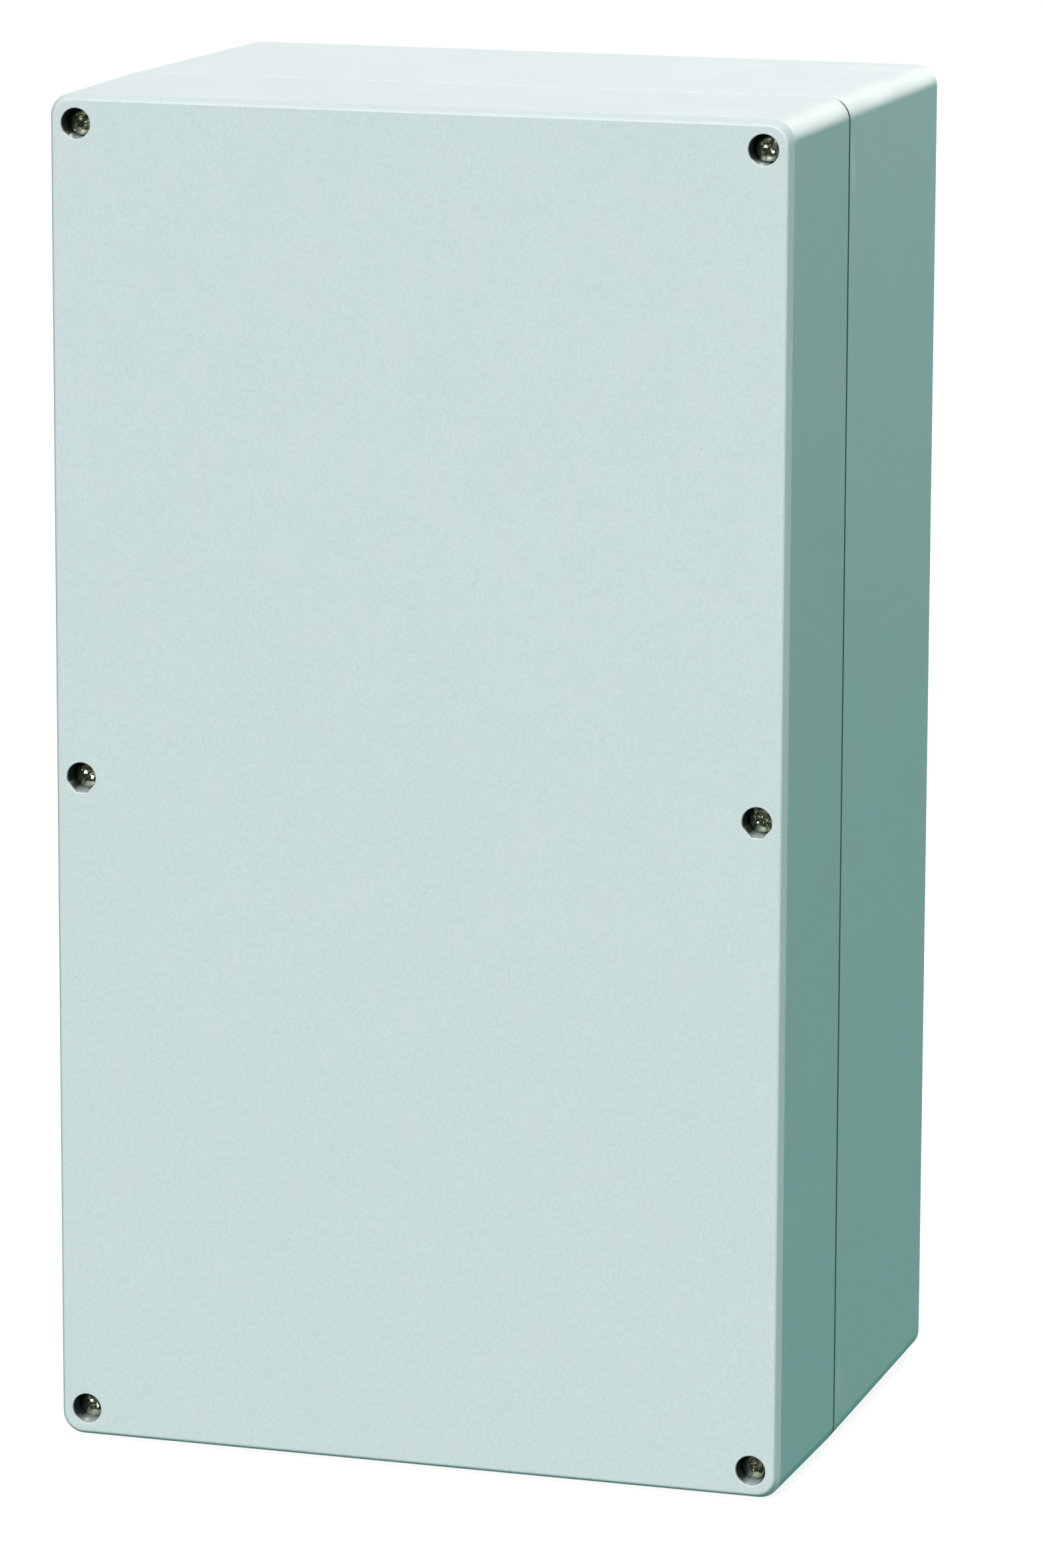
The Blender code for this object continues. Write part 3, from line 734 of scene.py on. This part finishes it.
def insert_mesh():
    """Brass insert: knurled outside in two bands, with an M4 thread through it."""
    low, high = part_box("thread_insert_top_left")
    length = high.y - low.y
    soft, edge = 0.25 * MM, 0.1 * MM
    outside = [(0.0, INSERT_RADIUS - soft), (soft, INSERT_RADIUS)]
    for start, end in KNURL_BANDS:
        low_y, high_y, dip = length * start, length * end, INSERT_RADIUS - 0.02 * MM
        outside += [(low_y, INSERT_RADIUS), (low_y + edge, dip), (high_y - edge, dip),
                    (high_y, INSERT_RADIUS)]
    outside += [(length - soft, INSERT_RADIUS), (length, INSERT_RADIUS - soft)]
    inside = thread_rows(edge, length - edge, INSERT_BORE)[::-1]
    inside = [(length, INSERT_BORE + edge)] + inside + [(0.0, INSERT_BORE + edge)]

    def knurled(y, angle):
        if any(length * start < y < length * end for start, end in KNURL_BANDS):
            return -KNURL_DEPTH * abs(math.sin(KNURLS * angle / 2))
        return 0.0

    thread = helix(edge, length - edge, 0.12 * MM, inward=True)
    sections = round_sections(outside, extra=knurled, steps=INSERT_STEPS)
    sections += round_sections(inside, extra=thread, steps=INSERT_STEPS)
    return finished_mesh("thread_insert", loft(sections, closed=True))


def make_fasteners(steel, nylon, brass, zinc):
    screw, ring, insert = cover_screw_mesh(), ring_mesh(), insert_mesh()
    ring_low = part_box("screw_ring_top_left")[0].y
    insert_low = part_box("thread_insert_top_left")[0].y
    for name, (x, z) in screw_places().items():
        turned_screw = screw.copy()
        turned_screw.transform(Matrix.Rotation(-math.radians(SLOT_ANGLES[name]), 4, "Y"))
        piece("screw_" + name, turned_screw, steel, "cover_screw_" + name, "cover_screw_" + name,
              (x, ring_low - HEAD_CLEARANCE, CENTRE_Z + z))
        piece("ring_" + name, ring, nylon, "screw_ring_" + name, "screw_ring_" + name,
              (x, ring_low, CENTRE_Z + z))
        piece("insert_" + name, insert, brass, "case", "thread_insert_" + name,
              (x, insert_low, CENTRE_Z + z))
    plate_screw = pan_screw_mesh("plate_screw", "plate_screw_top_left")
    rail_screw = pan_screw_mesh("rail_screw", "rail_screw_upper_left")
    for stem, mesh, rows in (("plate_screw", plate_screw, ("top", "bottom")),
                             ("rail_screw", rail_screw, ("upper", "lower"))):
        for row in rows:
            for side in ("left", "right"):
                node = f"{stem}_{row}_{side}"
                low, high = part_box(node)
                own = mesh.copy()
                angle = PAN_TURNS[side] + PAN_ROW_TURN * rows.index(row)
                own.transform(Matrix.Rotation(math.radians(angle), 4, "Y"))
                piece("pan_" + node, own, zinc, "case", node,
                      ((low.x + high.x) / 2, low.y + PAN_HEIGHT, (low.z + high.z) / 2))


# Mounting plate and rails

def make_plate(material):
    low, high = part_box("mounting_plate")
    size = (high.x - low.x, high.z - low.z)
    soft = PLATE_SOFT
    sections = []
    for y, inset in ((low.y, soft), (low.y + soft, 0.0), (high.y - soft, 0.0), (high.y, soft)):
        outline = rectangle(size[0] - 2 * inset, size[1] - 2 * inset, PLATE_CORNER - inset)
        sections.append((y, outline))
    rows = [f"rail_screw_{row}" for row in ("upper", "lower")]
    screws = [f"plate_screw_{name}" for name in CORNERS]
    screws += [f"{row}_{side}" for row in rows for side in ("left", "right")]
    hole = [(low.y - PAST, PILOT_RADIUS + PLATE_LEAD), (low.y, PILOT_RADIUS + PLATE_LEAD),
            (low.y + PLATE_LEAD, PILOT_RADIUS), (high.y + PAST, PILOT_RADIUS)]
    centres = [centre_of(node) for node in screws]
    holes = [turned(hole, (c.x, c.z - CENTRE_Z)) for c in centres]
    steps = [("DIFFERENCE", moved(joined(holes), z=CENTRE_Z))]
    mesh = finished_mesh("plate", moved(loft(sections), z=CENTRE_Z), steps)
    piece("plate", mesh, material, "case", "mounting_plate")


def bent(points, radii):
    """Outline whose corners are arcs of the given radii, one for each corner."""
    outline = []
    for i, (point, radius) in enumerate(zip(points, radii)):
        into = direction(points[i - 1], point)
        out = direction(point, points[(i + 1) % len(points)])
        outline += corner_arc(point, into, out, radius, BEND_STEPS)
    return outline


def make_rail(name, node, material):
    """Top-hat rail: its bent section drawn along X, with slots through the web."""
    low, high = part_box(node)
    web, edge, thick, top = RAIL_WEB, (high.z - low.z) / 2, RAIL_SHEET, high.y - low.y
    half = [(0.0, web), (top - thick, web), (top - thick, edge), (top, edge), (top, web - thick),
            (thick, web - thick)]
    points = half + [(h, -a) for h, a in reversed(half)]
    section = bent(points, RAIL_BENDS + RAIL_BENDS[::-1])
    shape = loft([(low.x, section), (high.x, section)])
    middle = (low.z + high.z) / 2
    for vertex in shape.verts:
        along, (height, across) = vertex.co.y, (vertex.co.x, vertex.co.z)
        vertex.co = (along, high.y - height, middle + across)
    bmesh.ops.recalc_face_normals(shape, faces=shape.faces)
    slots = []
    for i in range(RAIL_SLOT_COUNT):
        centre = (RAIL_SLOT_PITCH * (i - (RAIL_SLOT_COUNT - 1) / 2), middle - CENTRE_Z)
        outline = shifted(rectangle(*RAIL_SLOT), centre)
        slots.append(loft([(high.y - thick - PAST, outline), (high.y + PAST, outline)]))
    mesh = finished_mesh(name, shape, [("DIFFERENCE", moved(joined(slots), z=CENTRE_Z))])
    piece(name, mesh, material, "case", node)


# Materials

PLASTIC_TONES = ((0.575, 0.688, 0.680), (0.583, 0.695, 0.688))
PLASTIC_GRAIN = (0.465, 0.575, 0.565)
LIGHT_SPECK = (0.72, 0.80, 0.79)
DARK_SPECK = (0.36, 0.45, 0.44)
RUBBED = (0.60, 0.70, 0.69)
# Painted shade on the walls of the screw counterbores
BORE_PAINTED_SHADE = (0.012, 0.015, 0.011)
# Painted shade in the parting gap on the case's sides
PARTING_PAINTED_SHADE = (0.05, 0.05, 0.028)
# Painted light on the sink hollows
SINK_PAINTED_LIGHT = (0.68, 0.76, 0.75)
SINK_CENTRE = (BASE_RIM_Y + 4.5 * MM, 163 * MM)
SINK_SIZE = (5 * MM, 11 * MM)
BLACK = (0.0, 0.0, 0.0)
WHITE = (1.0, 1.0, 1.0)


class Look:
    """A material's node tree, with short calls for the nodes it uses."""

    def __init__(self, name, roughness, metallic=0.0):
        self.material = bpy.data.materials.new(name)
        self.material.use_nodes = True
        self.tree = self.material.node_tree
        self.shader = self.tree.nodes["Principled BSDF"]
        self.shader.inputs["Roughness"].default_value = roughness
        self.shader.inputs["Metallic"].default_value = metallic
        self.place = self.node("ShaderNodeTexCoord").outputs["Object"]
        self.normal = None

    def node(self, kind, inputs=None, **settings):
        made = self.tree.nodes.new(kind)
        for key, value in settings.items():
            setattr(made, key, value)
        for key, value in (inputs or {}).items():
            self.put(made.inputs[key], value)
        return made

    def put(self, socket, value):
        if isinstance(value, bpy.types.NodeSocket):
            self.tree.links.new(value, socket)
        else:
            socket.default_value = value

    def stretched(self, scale):
        return self.node("ShaderNodeMapping", {"Vector": self.place, "Scale": scale}).outputs[0]

    def noise(self, scale, detail=2.0, rough=0.5, place=None):
        made = self.node("ShaderNodeTexNoise", {"Vector": place or self.place, "Scale": scale,
                                                "Detail": detail, "Roughness": rough})
        return made.outputs["Fac"]

    def cells(self, scale, output="Distance", place=None):
        inputs = {"Vector": place or self.place, "Scale": scale}
        return self.node("ShaderNodeTexVoronoi", inputs).outputs[output]

    def span(self, value, low, high, to_low=0.0, to_high=1.0, smooth=False):
        kind = "SMOOTHSTEP" if smooth else "LINEAR"
        inputs = {"Value": value, "From Min": low, "From Max": high,
                  "To Min": to_low, "To Max": to_high}
        return self.node("ShaderNodeMapRange", inputs, interpolation_type=kind).outputs["Result"]

    def maths(self, operation, first, second=0.0):
        return self.node("ShaderNodeMath", {0: first, 1: second}, operation=operation).outputs[0]

    def mix(self, factor, first, second):
        made = self.node("ShaderNodeMix", {"Factor": factor}, data_type="RGBA")
        for name, value in (("A_Color", first), ("B_Color", second)):
            socket = next(s for s in made.inputs if s.identifier == name)
            self.put(socket, value if isinstance(value, bpy.types.NodeSocket) else (*value, 1.0))
        return next(s for s in made.outputs if s.identifier == "Result_Color")

    def along(self, axis):
        return self.node("ShaderNodeSeparateXYZ", {0: self.place}).outputs[axis]

    def radial(self):
        """Distance from the Y axis through the object's origin."""
        kind = "ShaderNodeVectorMath"
        flat = self.node(kind, {0: self.place, 1: (1.0, 0.0, 1.0)}, operation="MULTIPLY")
        return self.node(kind, {0: flat.outputs[0]}, operation="LENGTH").outputs["Value"]

    def rings(self, pitch):
        """Waves of turning marks round the Y axis."""
        return self.maths("SINE", self.share(self.radial(), 2 * math.pi / pitch))

    def size(self, first, second):
        """Length of a vector with these two parts."""
        squares = [self.maths("MULTIPLY", part, part) for part in (first, second)]
        return self.maths("SQRT", self.maths("ADD", *squares))

    def distance(self, value, centre):
        return self.maths("ABSOLUTE", self.maths("SUBTRACT", value, centre))

    def share(self, value, part):
        return self.maths("MULTIPLY", value, part)

    def bump(self, height, distance):
        inputs = {"Height": height, "Distance": distance, "Strength": 1.0}
        if self.normal:
            inputs["Normal"] = self.normal
        self.normal = self.node("ShaderNodeBump", inputs).outputs[0]
        self.put(self.shader.inputs["Normal"], self.normal)

    def colour(self, value):
        self.put(self.shader.inputs["Base Color"], value)

    def roughness(self, value):
        self.put(self.shader.inputs["Roughness"], value)


def bore_shade_mask(look):
    """Mask of painted shade: 1 on the walls of the screw counterbores, less at their lowest part
    where light reaches, 0 elsewhere.
    """
    column = abs(centre_of("screw_ring_top_left").x)
    row = centre_of("screw_ring_top_left").z - CENTRE_Z
    x = look.maths("SUBTRACT", look.maths("ABSOLUTE", look.along("X")), column)
    z = look.maths("SUBTRACT", look.along("Z"), CENTRE_Z)
    nearest = look.maths("MULTIPLY", look.maths("SIGN", z), row)
    outer = look.maths("GREATER_THAN", look.maths("ABSOLUTE", z), row / 2)
    z = look.maths("SUBTRACT", z, look.maths("MULTIPLY", nearest, outer))
    edge = COUNTERBORE_RADIUS
    inside = look.span(look.size(x, z), edge + 0.05 * MM, edge + 0.45 * MM, 1.0, 0.0)
    deep = look.span(look.along("Y"), FRONT_Y + 0.25 * MM, FRONT_Y + 1.2 * MM)
    low = look.span(z, -3.9 * MM, -2.9 * MM, 0.1, 1.0)
    return look.maths("MULTIPLY", look.maths("MULTIPLY", inside, deep), low)


def sink_marks(look):
    """1 in the faint hollows that the corner columns leave in the case's sides by the parting; it
    sets their bump and the painted light on them.
    """
    y = look.maths("SUBTRACT", look.along("Y"), SINK_CENTRE[0])
    z = look.maths("SUBTRACT", look.distance(look.along("Z"), CENTRE_Z), SINK_CENTRE[1])
    off = look.size(look.maths("DIVIDE", y, SINK_SIZE[0]), look.maths("DIVIDE", z, SINK_SIZE[1]))
    side = look.span(look.maths("ABSOLUTE", look.along("X")), 95 * MM, 97 * MM)
    return look.maths("MULTIPLY", look.span(off, 0.1, 1.0, 1.0, 0.0, smooth=True), side)


def moulded_plastic(name, worn_at, tint=1.0, painted_bore_shade=False, sinks=False):
    """Light grey moulded plastic: fine spark-eroded grain, mottle, dust specks, rubbed edges.

    worn_at holds the (y, reach) of each edge that is rubbed. The bore flag paints shade on the
    walls of the screw holes and takes their gloss away, less at their lowest part, where light
    reaches; the sink flag adds the hollows by the parting, with painted light on them, and painted
    shade on the case's rim in the parting gap along its sides.
    """
    look = Look(name, 0.42)
    look.shader.inputs["IOR"].default_value = 1.5
    colour = look.mix(look.span(look.noise(14.0, 3.0), 0.35, 0.65), *PLASTIC_TONES)
    fine = look.span(look.noise(1500.0, 2.0), 0.3, 0.7)
    colour = look.mix(look.share(fine, 0.5), colour, PLASTIC_GRAIN)
    speck = look.span(look.cells(170.0), 0.026, 0.042, 1.0, 0.0)
    colour = look.mix(look.share(speck, 0.6), colour, LIGHT_SPECK)
    place = look.stretched((1.0, 1.3, 0.9))
    speck = look.span(look.cells(115.0, place=place), 0.020, 0.034, 1.0, 0.0)
    colour = look.mix(look.share(speck, 0.6), colour, DARK_SPECK)
    y = look.along("Y")
    near = [look.span(look.distance(y, edge), reach * 0.4, reach, 1.0, 0.0, smooth=True)
            for edge, reach in worn_at]
    patches = look.span(look.noise(90.0, 4.0, 0.6), 0.45, 0.7)
    worn = look.maths("MULTIPLY", look.maths("MAXIMUM", *near), patches)
    colour = look.mix(look.share(worn, 0.25), colour, RUBBED)
    if painted_bore_shade:
        painted_recess_shade = bore_shade_mask(look)
        # Painted shade: the counterbore walls are darkened nearly to black and lose their gloss
        # where they lie in shadow, less at the lit lowest part.
        colour = look.mix(look.share(painted_recess_shade, 0.96), colour, BORE_PAINTED_SHADE)
        gloss = look.span(painted_recess_shade, 0.0, 1.0, 0.5, 0.05)
        look.put(look.shader.inputs["Specular IOR Level"], gloss)
    if sinks:
        # Painted shade: the base's rim face in the parting gap is darkened on the case's sides,
        # where the cover shades it from the light.
        rim = look.span(y, BASE_RIM_Y + 0.02 * MM, BASE_RIM_Y + 0.2 * MM, 1.0, 0.0)
        side = look.span(look.maths("ABSOLUTE", look.along("X")), 96.5 * MM, 97.5 * MM)
        painted_parting_shade = look.maths("MULTIPLY", rim, side)
        colour = look.mix(look.share(painted_parting_shade, 0.85), colour, PARTING_PAINTED_SHADE)
        hollow = sink_marks(look)
        # Painted light: the sink hollows are also coloured lighter, standing in for light on their
        # walls; the bump below gives the dent itself.
        colour = look.mix(look.share(hollow, 0.6), colour, SINK_PAINTED_LIGHT)
        look.bump(look.maths("SUBTRACT", 1.0, hollow), 0.16 * MM)
    look.colour(look.mix(tint, BLACK, colour))
    rough = look.span(look.noise(55.0, 3.0), 0.3, 0.7, 0.39, 0.46)
    look.roughness(look.maths("SUBTRACT", rough, look.share(worn, 0.07)))
    look.bump(look.noise(1900.0, 2.0, 0.6), 0.004 * MM)
    look.bump(look.noise(38.0, 1.0), 0.006 * MM)
    return look.material


def stainless_steel():
    """Bright turned steel: rings round the axis, faint smears, scratches, and painted shade deep in
    the recess.
    """
    look = Look("stainless_steel", 0.2, 1.0)
    smear = look.span(look.noise(700.0, 3.0, 0.6), 0.35, 0.7)
    colour = look.mix(smear, (0.56, 0.60, 0.48), (0.42, 0.45, 0.35))
    # Painted shade: the steel is darkened deeper in the cross recess, within 2.4 mm of the axis.
    depth = look.span(look.along("Y"), -2.2 * MM, -1.0 * MM, 1.0, 0.0)
    inner = look.span(look.radial(), 2.0 * MM, 2.4 * MM, 1.0, 0.0)
    painted_recess_shade = look.maths("MULTIPLY", look.maths("SUBTRACT", 1.0, depth), inner)
    look.colour(look.mix(look.share(painted_recess_shade, 0.45), colour, (0.20, 0.19, 0.16)))
    look.roughness(look.span(look.noise(1500.0, 2.0), 0.3, 0.7, 0.13, 0.22))
    look.bump(look.rings(0.12 * MM), 0.0003 * MM)
    scratches = look.noise(900.0, 2.0, place=look.stretched((0.15, 1.0, 3.0)))
    look.bump(look.span(scratches, 0.55, 0.6), 0.001 * MM)
    return look.material


def zinc_plate():
    """Galvanised sheet: spangle and rolling lines."""
    look = Look("zinc_plate", 0.38, 1.0)
    spangle = look.cells(150.0, "Color")
    tone = look.node("ShaderNodeRGBToBW", {0: spangle}).outputs[0]
    colour = look.mix(tone, (0.48, 0.50, 0.51), (0.66, 0.68, 0.69))
    lines = look.noise(260.0, 3.0, 0.6, place=look.stretched((0.04, 1.0, 1.0)))
    rolled = look.share(look.span(lines, 0.35, 0.65), 0.3)
    look.colour(look.mix(rolled, colour, (0.56, 0.57, 0.57)))
    rough = look.span(tone, 0.0, 1.0, 0.28, 0.44)
    look.roughness(look.maths("ADD", rough, look.span(lines, 0.3, 0.7, 0.0, 0.06)))
    look.bump(lines, 0.002 * MM)
    look.bump(tone, 0.001 * MM)
    return look.material


def zinc_plated_fastener():
    """Blue-passivated zinc with a slight yellow cast in places."""
    look = Look("zinc_fastener", 0.3, 1.0)
    cast = look.span(look.noise(420.0, 2.0), 0.35, 0.65)
    look.colour(look.mix(cast, (0.62, 0.66, 0.70), (0.68, 0.66, 0.58)))
    look.roughness(look.span(look.noise(1400.0, 2.0), 0.3, 0.7, 0.22, 0.36))
    look.bump(look.rings(0.15 * MM), 0.0008 * MM)
    return look.material


def turned_brass():
    look = Look("turned_brass", 0.28, 1.0)
    tarnish = look.span(look.noise(500.0, 3.0), 0.4, 0.7)
    look.colour(look.mix(tarnish, (0.74, 0.56, 0.27), (0.52, 0.36, 0.15)))
    look.roughness(look.span(look.noise(1300.0, 2.0), 0.3, 0.7, 0.22, 0.4))
    look.bump(look.rings(0.1 * MM), 0.0008 * MM)
    return look.material


def natural_nylon():
    look = Look("natural_nylon", 0.45)
    look.shader.inputs["Subsurface Weight"].default_value = 0.15
    look.shader.inputs["Subsurface Radius"].default_value = (0.0008, 0.0007, 0.0006)
    clouds = look.span(look.noise(320.0, 2.0), 0.35, 0.65)
    look.colour(look.mix(clouds, (0.74, 0.72, 0.66), (0.66, 0.64, 0.57)))
    look.roughness(look.span(look.noise(800.0), 0.3, 0.7, 0.4, 0.52))
    look.bump(look.noise(1600.0), 0.004 * MM)
    return look.material


def gasket_foam():
    """Dark closed-cell foam with a skin of small open cells."""
    look = Look("gasket_foam", 0.85)
    pores = look.cells(1500.0)
    clouds = look.span(look.noise(60.0, 3.0), 0.35, 0.65)
    colour = look.mix(clouds, (0.040, 0.041, 0.044), (0.060, 0.061, 0.064))
    look.colour(look.mix(look.span(pores, 0.15, 0.5, 0.6, 0.0), colour, (0.018, 0.018, 0.02)))
    look.roughness(look.span(pores, 0.0, 0.7, 0.95, 0.75))
    look.bump(pores, 0.08 * MM)
    return look.material


# Studio

# Each lamp's name, the direction of its light's source, colour, strength and width in degrees
SUNS = (
    ("key", (-0.08, -0.88, 0.36), (0.93, 0.905, 0.93), 2.68, 11),
    ("top", (0.15, -0.28, 0.95), (1.0, 0.72, 0.76), 2.02, 50),
    ("back", (0.07, 0.95, 0.30), (1.0, 0.93, 0.93), 0.2, 40),
    ("left", (-0.72, -0.68, 0.12), WHITE, 0.25, 6),
    ("fill", (0.45, -0.85, 0.30), (0.40, 1.0, 0.90), 0.45, 4),
)
ROOM = (0.014, 0.020, 0.014)
ROOM_PATCHES = (2.2, 2.4, 2.2)
PATCH_SCALE = 7.0
PATCH_EDGE = (0.66, 0.69)
# Background, wall and window: direction, cosines where it starts and is full, and colour
GLOWS = (
    ((0.0, 1.0, 0.0), (-0.05, 0.3), (0.04, 0.36, 0.30)),
    ((-0.20, 0.93, 0.30), (0.80, 0.93), (1.25, 1.22, 1.25)),
    ((0.30, 0.91, 0.31), (0.93, 0.965), (3.4, 3.4, 3.4)),
)
FLOOR_TONES = ((0.22, 0.22, 0.22), (0.23, 0.23, 0.23))
FLOOR_GLOW = 0.86
FLOOR_SIZE = 15.0
FLOOR_DROP = 0.2 * MM
VIEW_AZIMUTH = 17.384
VIEW_ELEVATION = 11.5655
VIEW_ROLL = -0.1946
VIEW_DISTANCE = 1910.58 * MM
VIEW_OFFSET = (-11.504 * MM, -6.22 * MM)
LENS = 165.04
SENSOR = 36.0


def sun(name, towards, colour, strength, angle):
    lamp = bpy.data.lights.new(name, "SUN")
    lamp.color = colour
    lamp.energy = strength
    lamp.angle = math.radians(angle)
    obj = bpy.data.objects.new(name, lamp)
    obj.rotation_euler = Vector(towards).to_track_quat("Z", "Y").to_euler()
    bpy.context.scene.collection.objects.link(obj)


class World:
    """Node tree of surroundings whose brightness depends on the direction."""

    def __init__(self, name):
        world = bpy.data.worlds.new(name)
        world.use_nodes = True
        bpy.context.scene.world = world
        self.tree = world.node_tree
        self.place = self.tree.nodes.new("ShaderNodeTexCoord").outputs["Generated"]

    def step(self, value, low, high):
        made = self.tree.nodes.new("ShaderNodeMapRange")
        made.interpolation_type = "SMOOTHSTEP"
        made.inputs["From Min"].default_value = low
        made.inputs["From Max"].default_value = high
        self.tree.links.new(value, made.inputs["Value"])
        return made.outputs["Result"]

    def towards(self, direction, low, high):
        """1 round a direction, falling to 0 away from it; low and high are cosines."""
        made = self.tree.nodes.new("ShaderNodeVectorMath")
        made.operation = "DOT_PRODUCT"
        made.inputs[1].default_value = Vector(direction).normalized()
        self.tree.links.new(self.place, made.inputs[0])
        return self.step(made.outputs["Value"], low, high)

    def mix(self, factor, first, second):
        made = self.tree.nodes.new("ShaderNodeMixRGB")
        self.tree.links.new(factor, made.inputs["Fac"])
        for socket, value in ((made.inputs["Color1"], first), (made.inputs["Color2"], second)):
            if isinstance(value, bpy.types.NodeSocket):
                self.tree.links.new(value, socket)
            else:
                socket.default_value = (*value, 1.0)
        return made.outputs["Color"]


def make_world():
    """Dark room in front; tinted background, white wall and window behind; white when seen."""
    world = World("studio")
    noise = world.tree.nodes.new("ShaderNodeTexNoise")
    noise.inputs["Scale"].default_value = PATCH_SCALE
    world.tree.links.new(world.place, noise.inputs["Vector"])
    colour = world.mix(world.step(noise.outputs["Fac"], *PATCH_EDGE), ROOM, ROOM_PATCHES)
    for source, edge, glow in GLOWS:
        colour = world.mix(world.towards(source, *edge), colour, glow)
    seen = world.tree.nodes.new("ShaderNodeLightPath").outputs["Is Camera Ray"]
    colour = world.mix(seen, colour, WHITE)
    world.tree.links.new(colour, world.tree.nodes["Background"].inputs["Color"])


def make_floor():
    look = Look("floor_paint", 0.9)
    look.shader.inputs["Specular IOR Level"].default_value = 0.0
    shade = look.span(look.noise(3.0, 2.0), 0.3, 0.7)
    look.colour(look.mix(shade, *FLOOR_TONES))
    look.shader.inputs["Emission Color"].default_value = (*WHITE, 1.0)
    look.shader.inputs["Emission Strength"].default_value = FLOOR_GLOW
    shape = bmesh.new()
    bmesh.ops.create_grid(shape, x_segments=2, y_segments=2, size=FLOOR_SIZE)
    floor = plain_object("floor", shape)
    floor.location = (0.0, 0.0, CAD_BOX[0][2] - FLOOR_DROP)
    floor.data.materials.append(look.material)
    floor.visible_diffuse = False
    floor.visible_glossy = False


def make_camera():
    """Camera in front, to the right and above, aimed from the middle of the parting plane."""
    azimuth, elevation = math.radians(VIEW_AZIMUTH), math.radians(VIEW_ELEVATION)
    level = math.cos(elevation)
    forward = Vector((-math.sin(azimuth) * level, math.cos(azimuth) * level, -math.sin(elevation)))
    right = Vector((math.cos(azimuth), math.sin(azimuth), 0.0))
    up = right.cross(forward)
    roll = Matrix.Rotation(math.radians(VIEW_ROLL), 3, forward)
    right, up = roll @ right, roll @ up
    centre = Vector((0.0, PARTING_Y, CENTRE_Z))
    camera = bpy.data.cameras.new("camera")
    camera.lens = LENS
    camera.sensor_width = SENSOR
    camera.clip_end = 100.0
    obj = bpy.data.objects.new("camera", camera)
    turn = Matrix((right, up, -forward)).transposed().to_4x4()
    spot = centre - forward * VIEW_DISTANCE - right * VIEW_OFFSET[0] + up * VIEW_OFFSET[1]
    obj.matrix_world = Matrix.Translation(spot) @ turn
    bpy.context.scene.collection.objects.link(obj)
    bpy.context.scene.camera = obj


def make_studio():
    for lamp in SUNS:
        sun(*lamp)
    make_world()
    make_floor()
    make_camera()
    bpy.context.scene.view_settings.view_transform = "Standard"


def main():
    front_worn = [(FRONT_Y + 1.2 * MM, 2.5 * MM), (COVER_REAR_Y, 1.0 * MM)]
    back_worn = [(BASE_RIM_Y, 1.0 * MM), (BACK_Y, 2.5 * MM)]
    make_studio()
    make_cover(moulded_plastic("cover_plastic", front_worn, 0.98, painted_bore_shade=True))
    make_base(moulded_plastic("case_plastic", back_worn, sinks=True))
    make_gasket(gasket_foam())
    sheet = zinc_plate()
    make_plate(sheet)
    make_rail("rail_upper", "upper_rail", sheet)
    make_rail("rail_lower", "lower_rail", sheet)
    make_fasteners(stainless_steel(), natural_nylon(), turned_brass(), zinc_plated_fastener())


main()
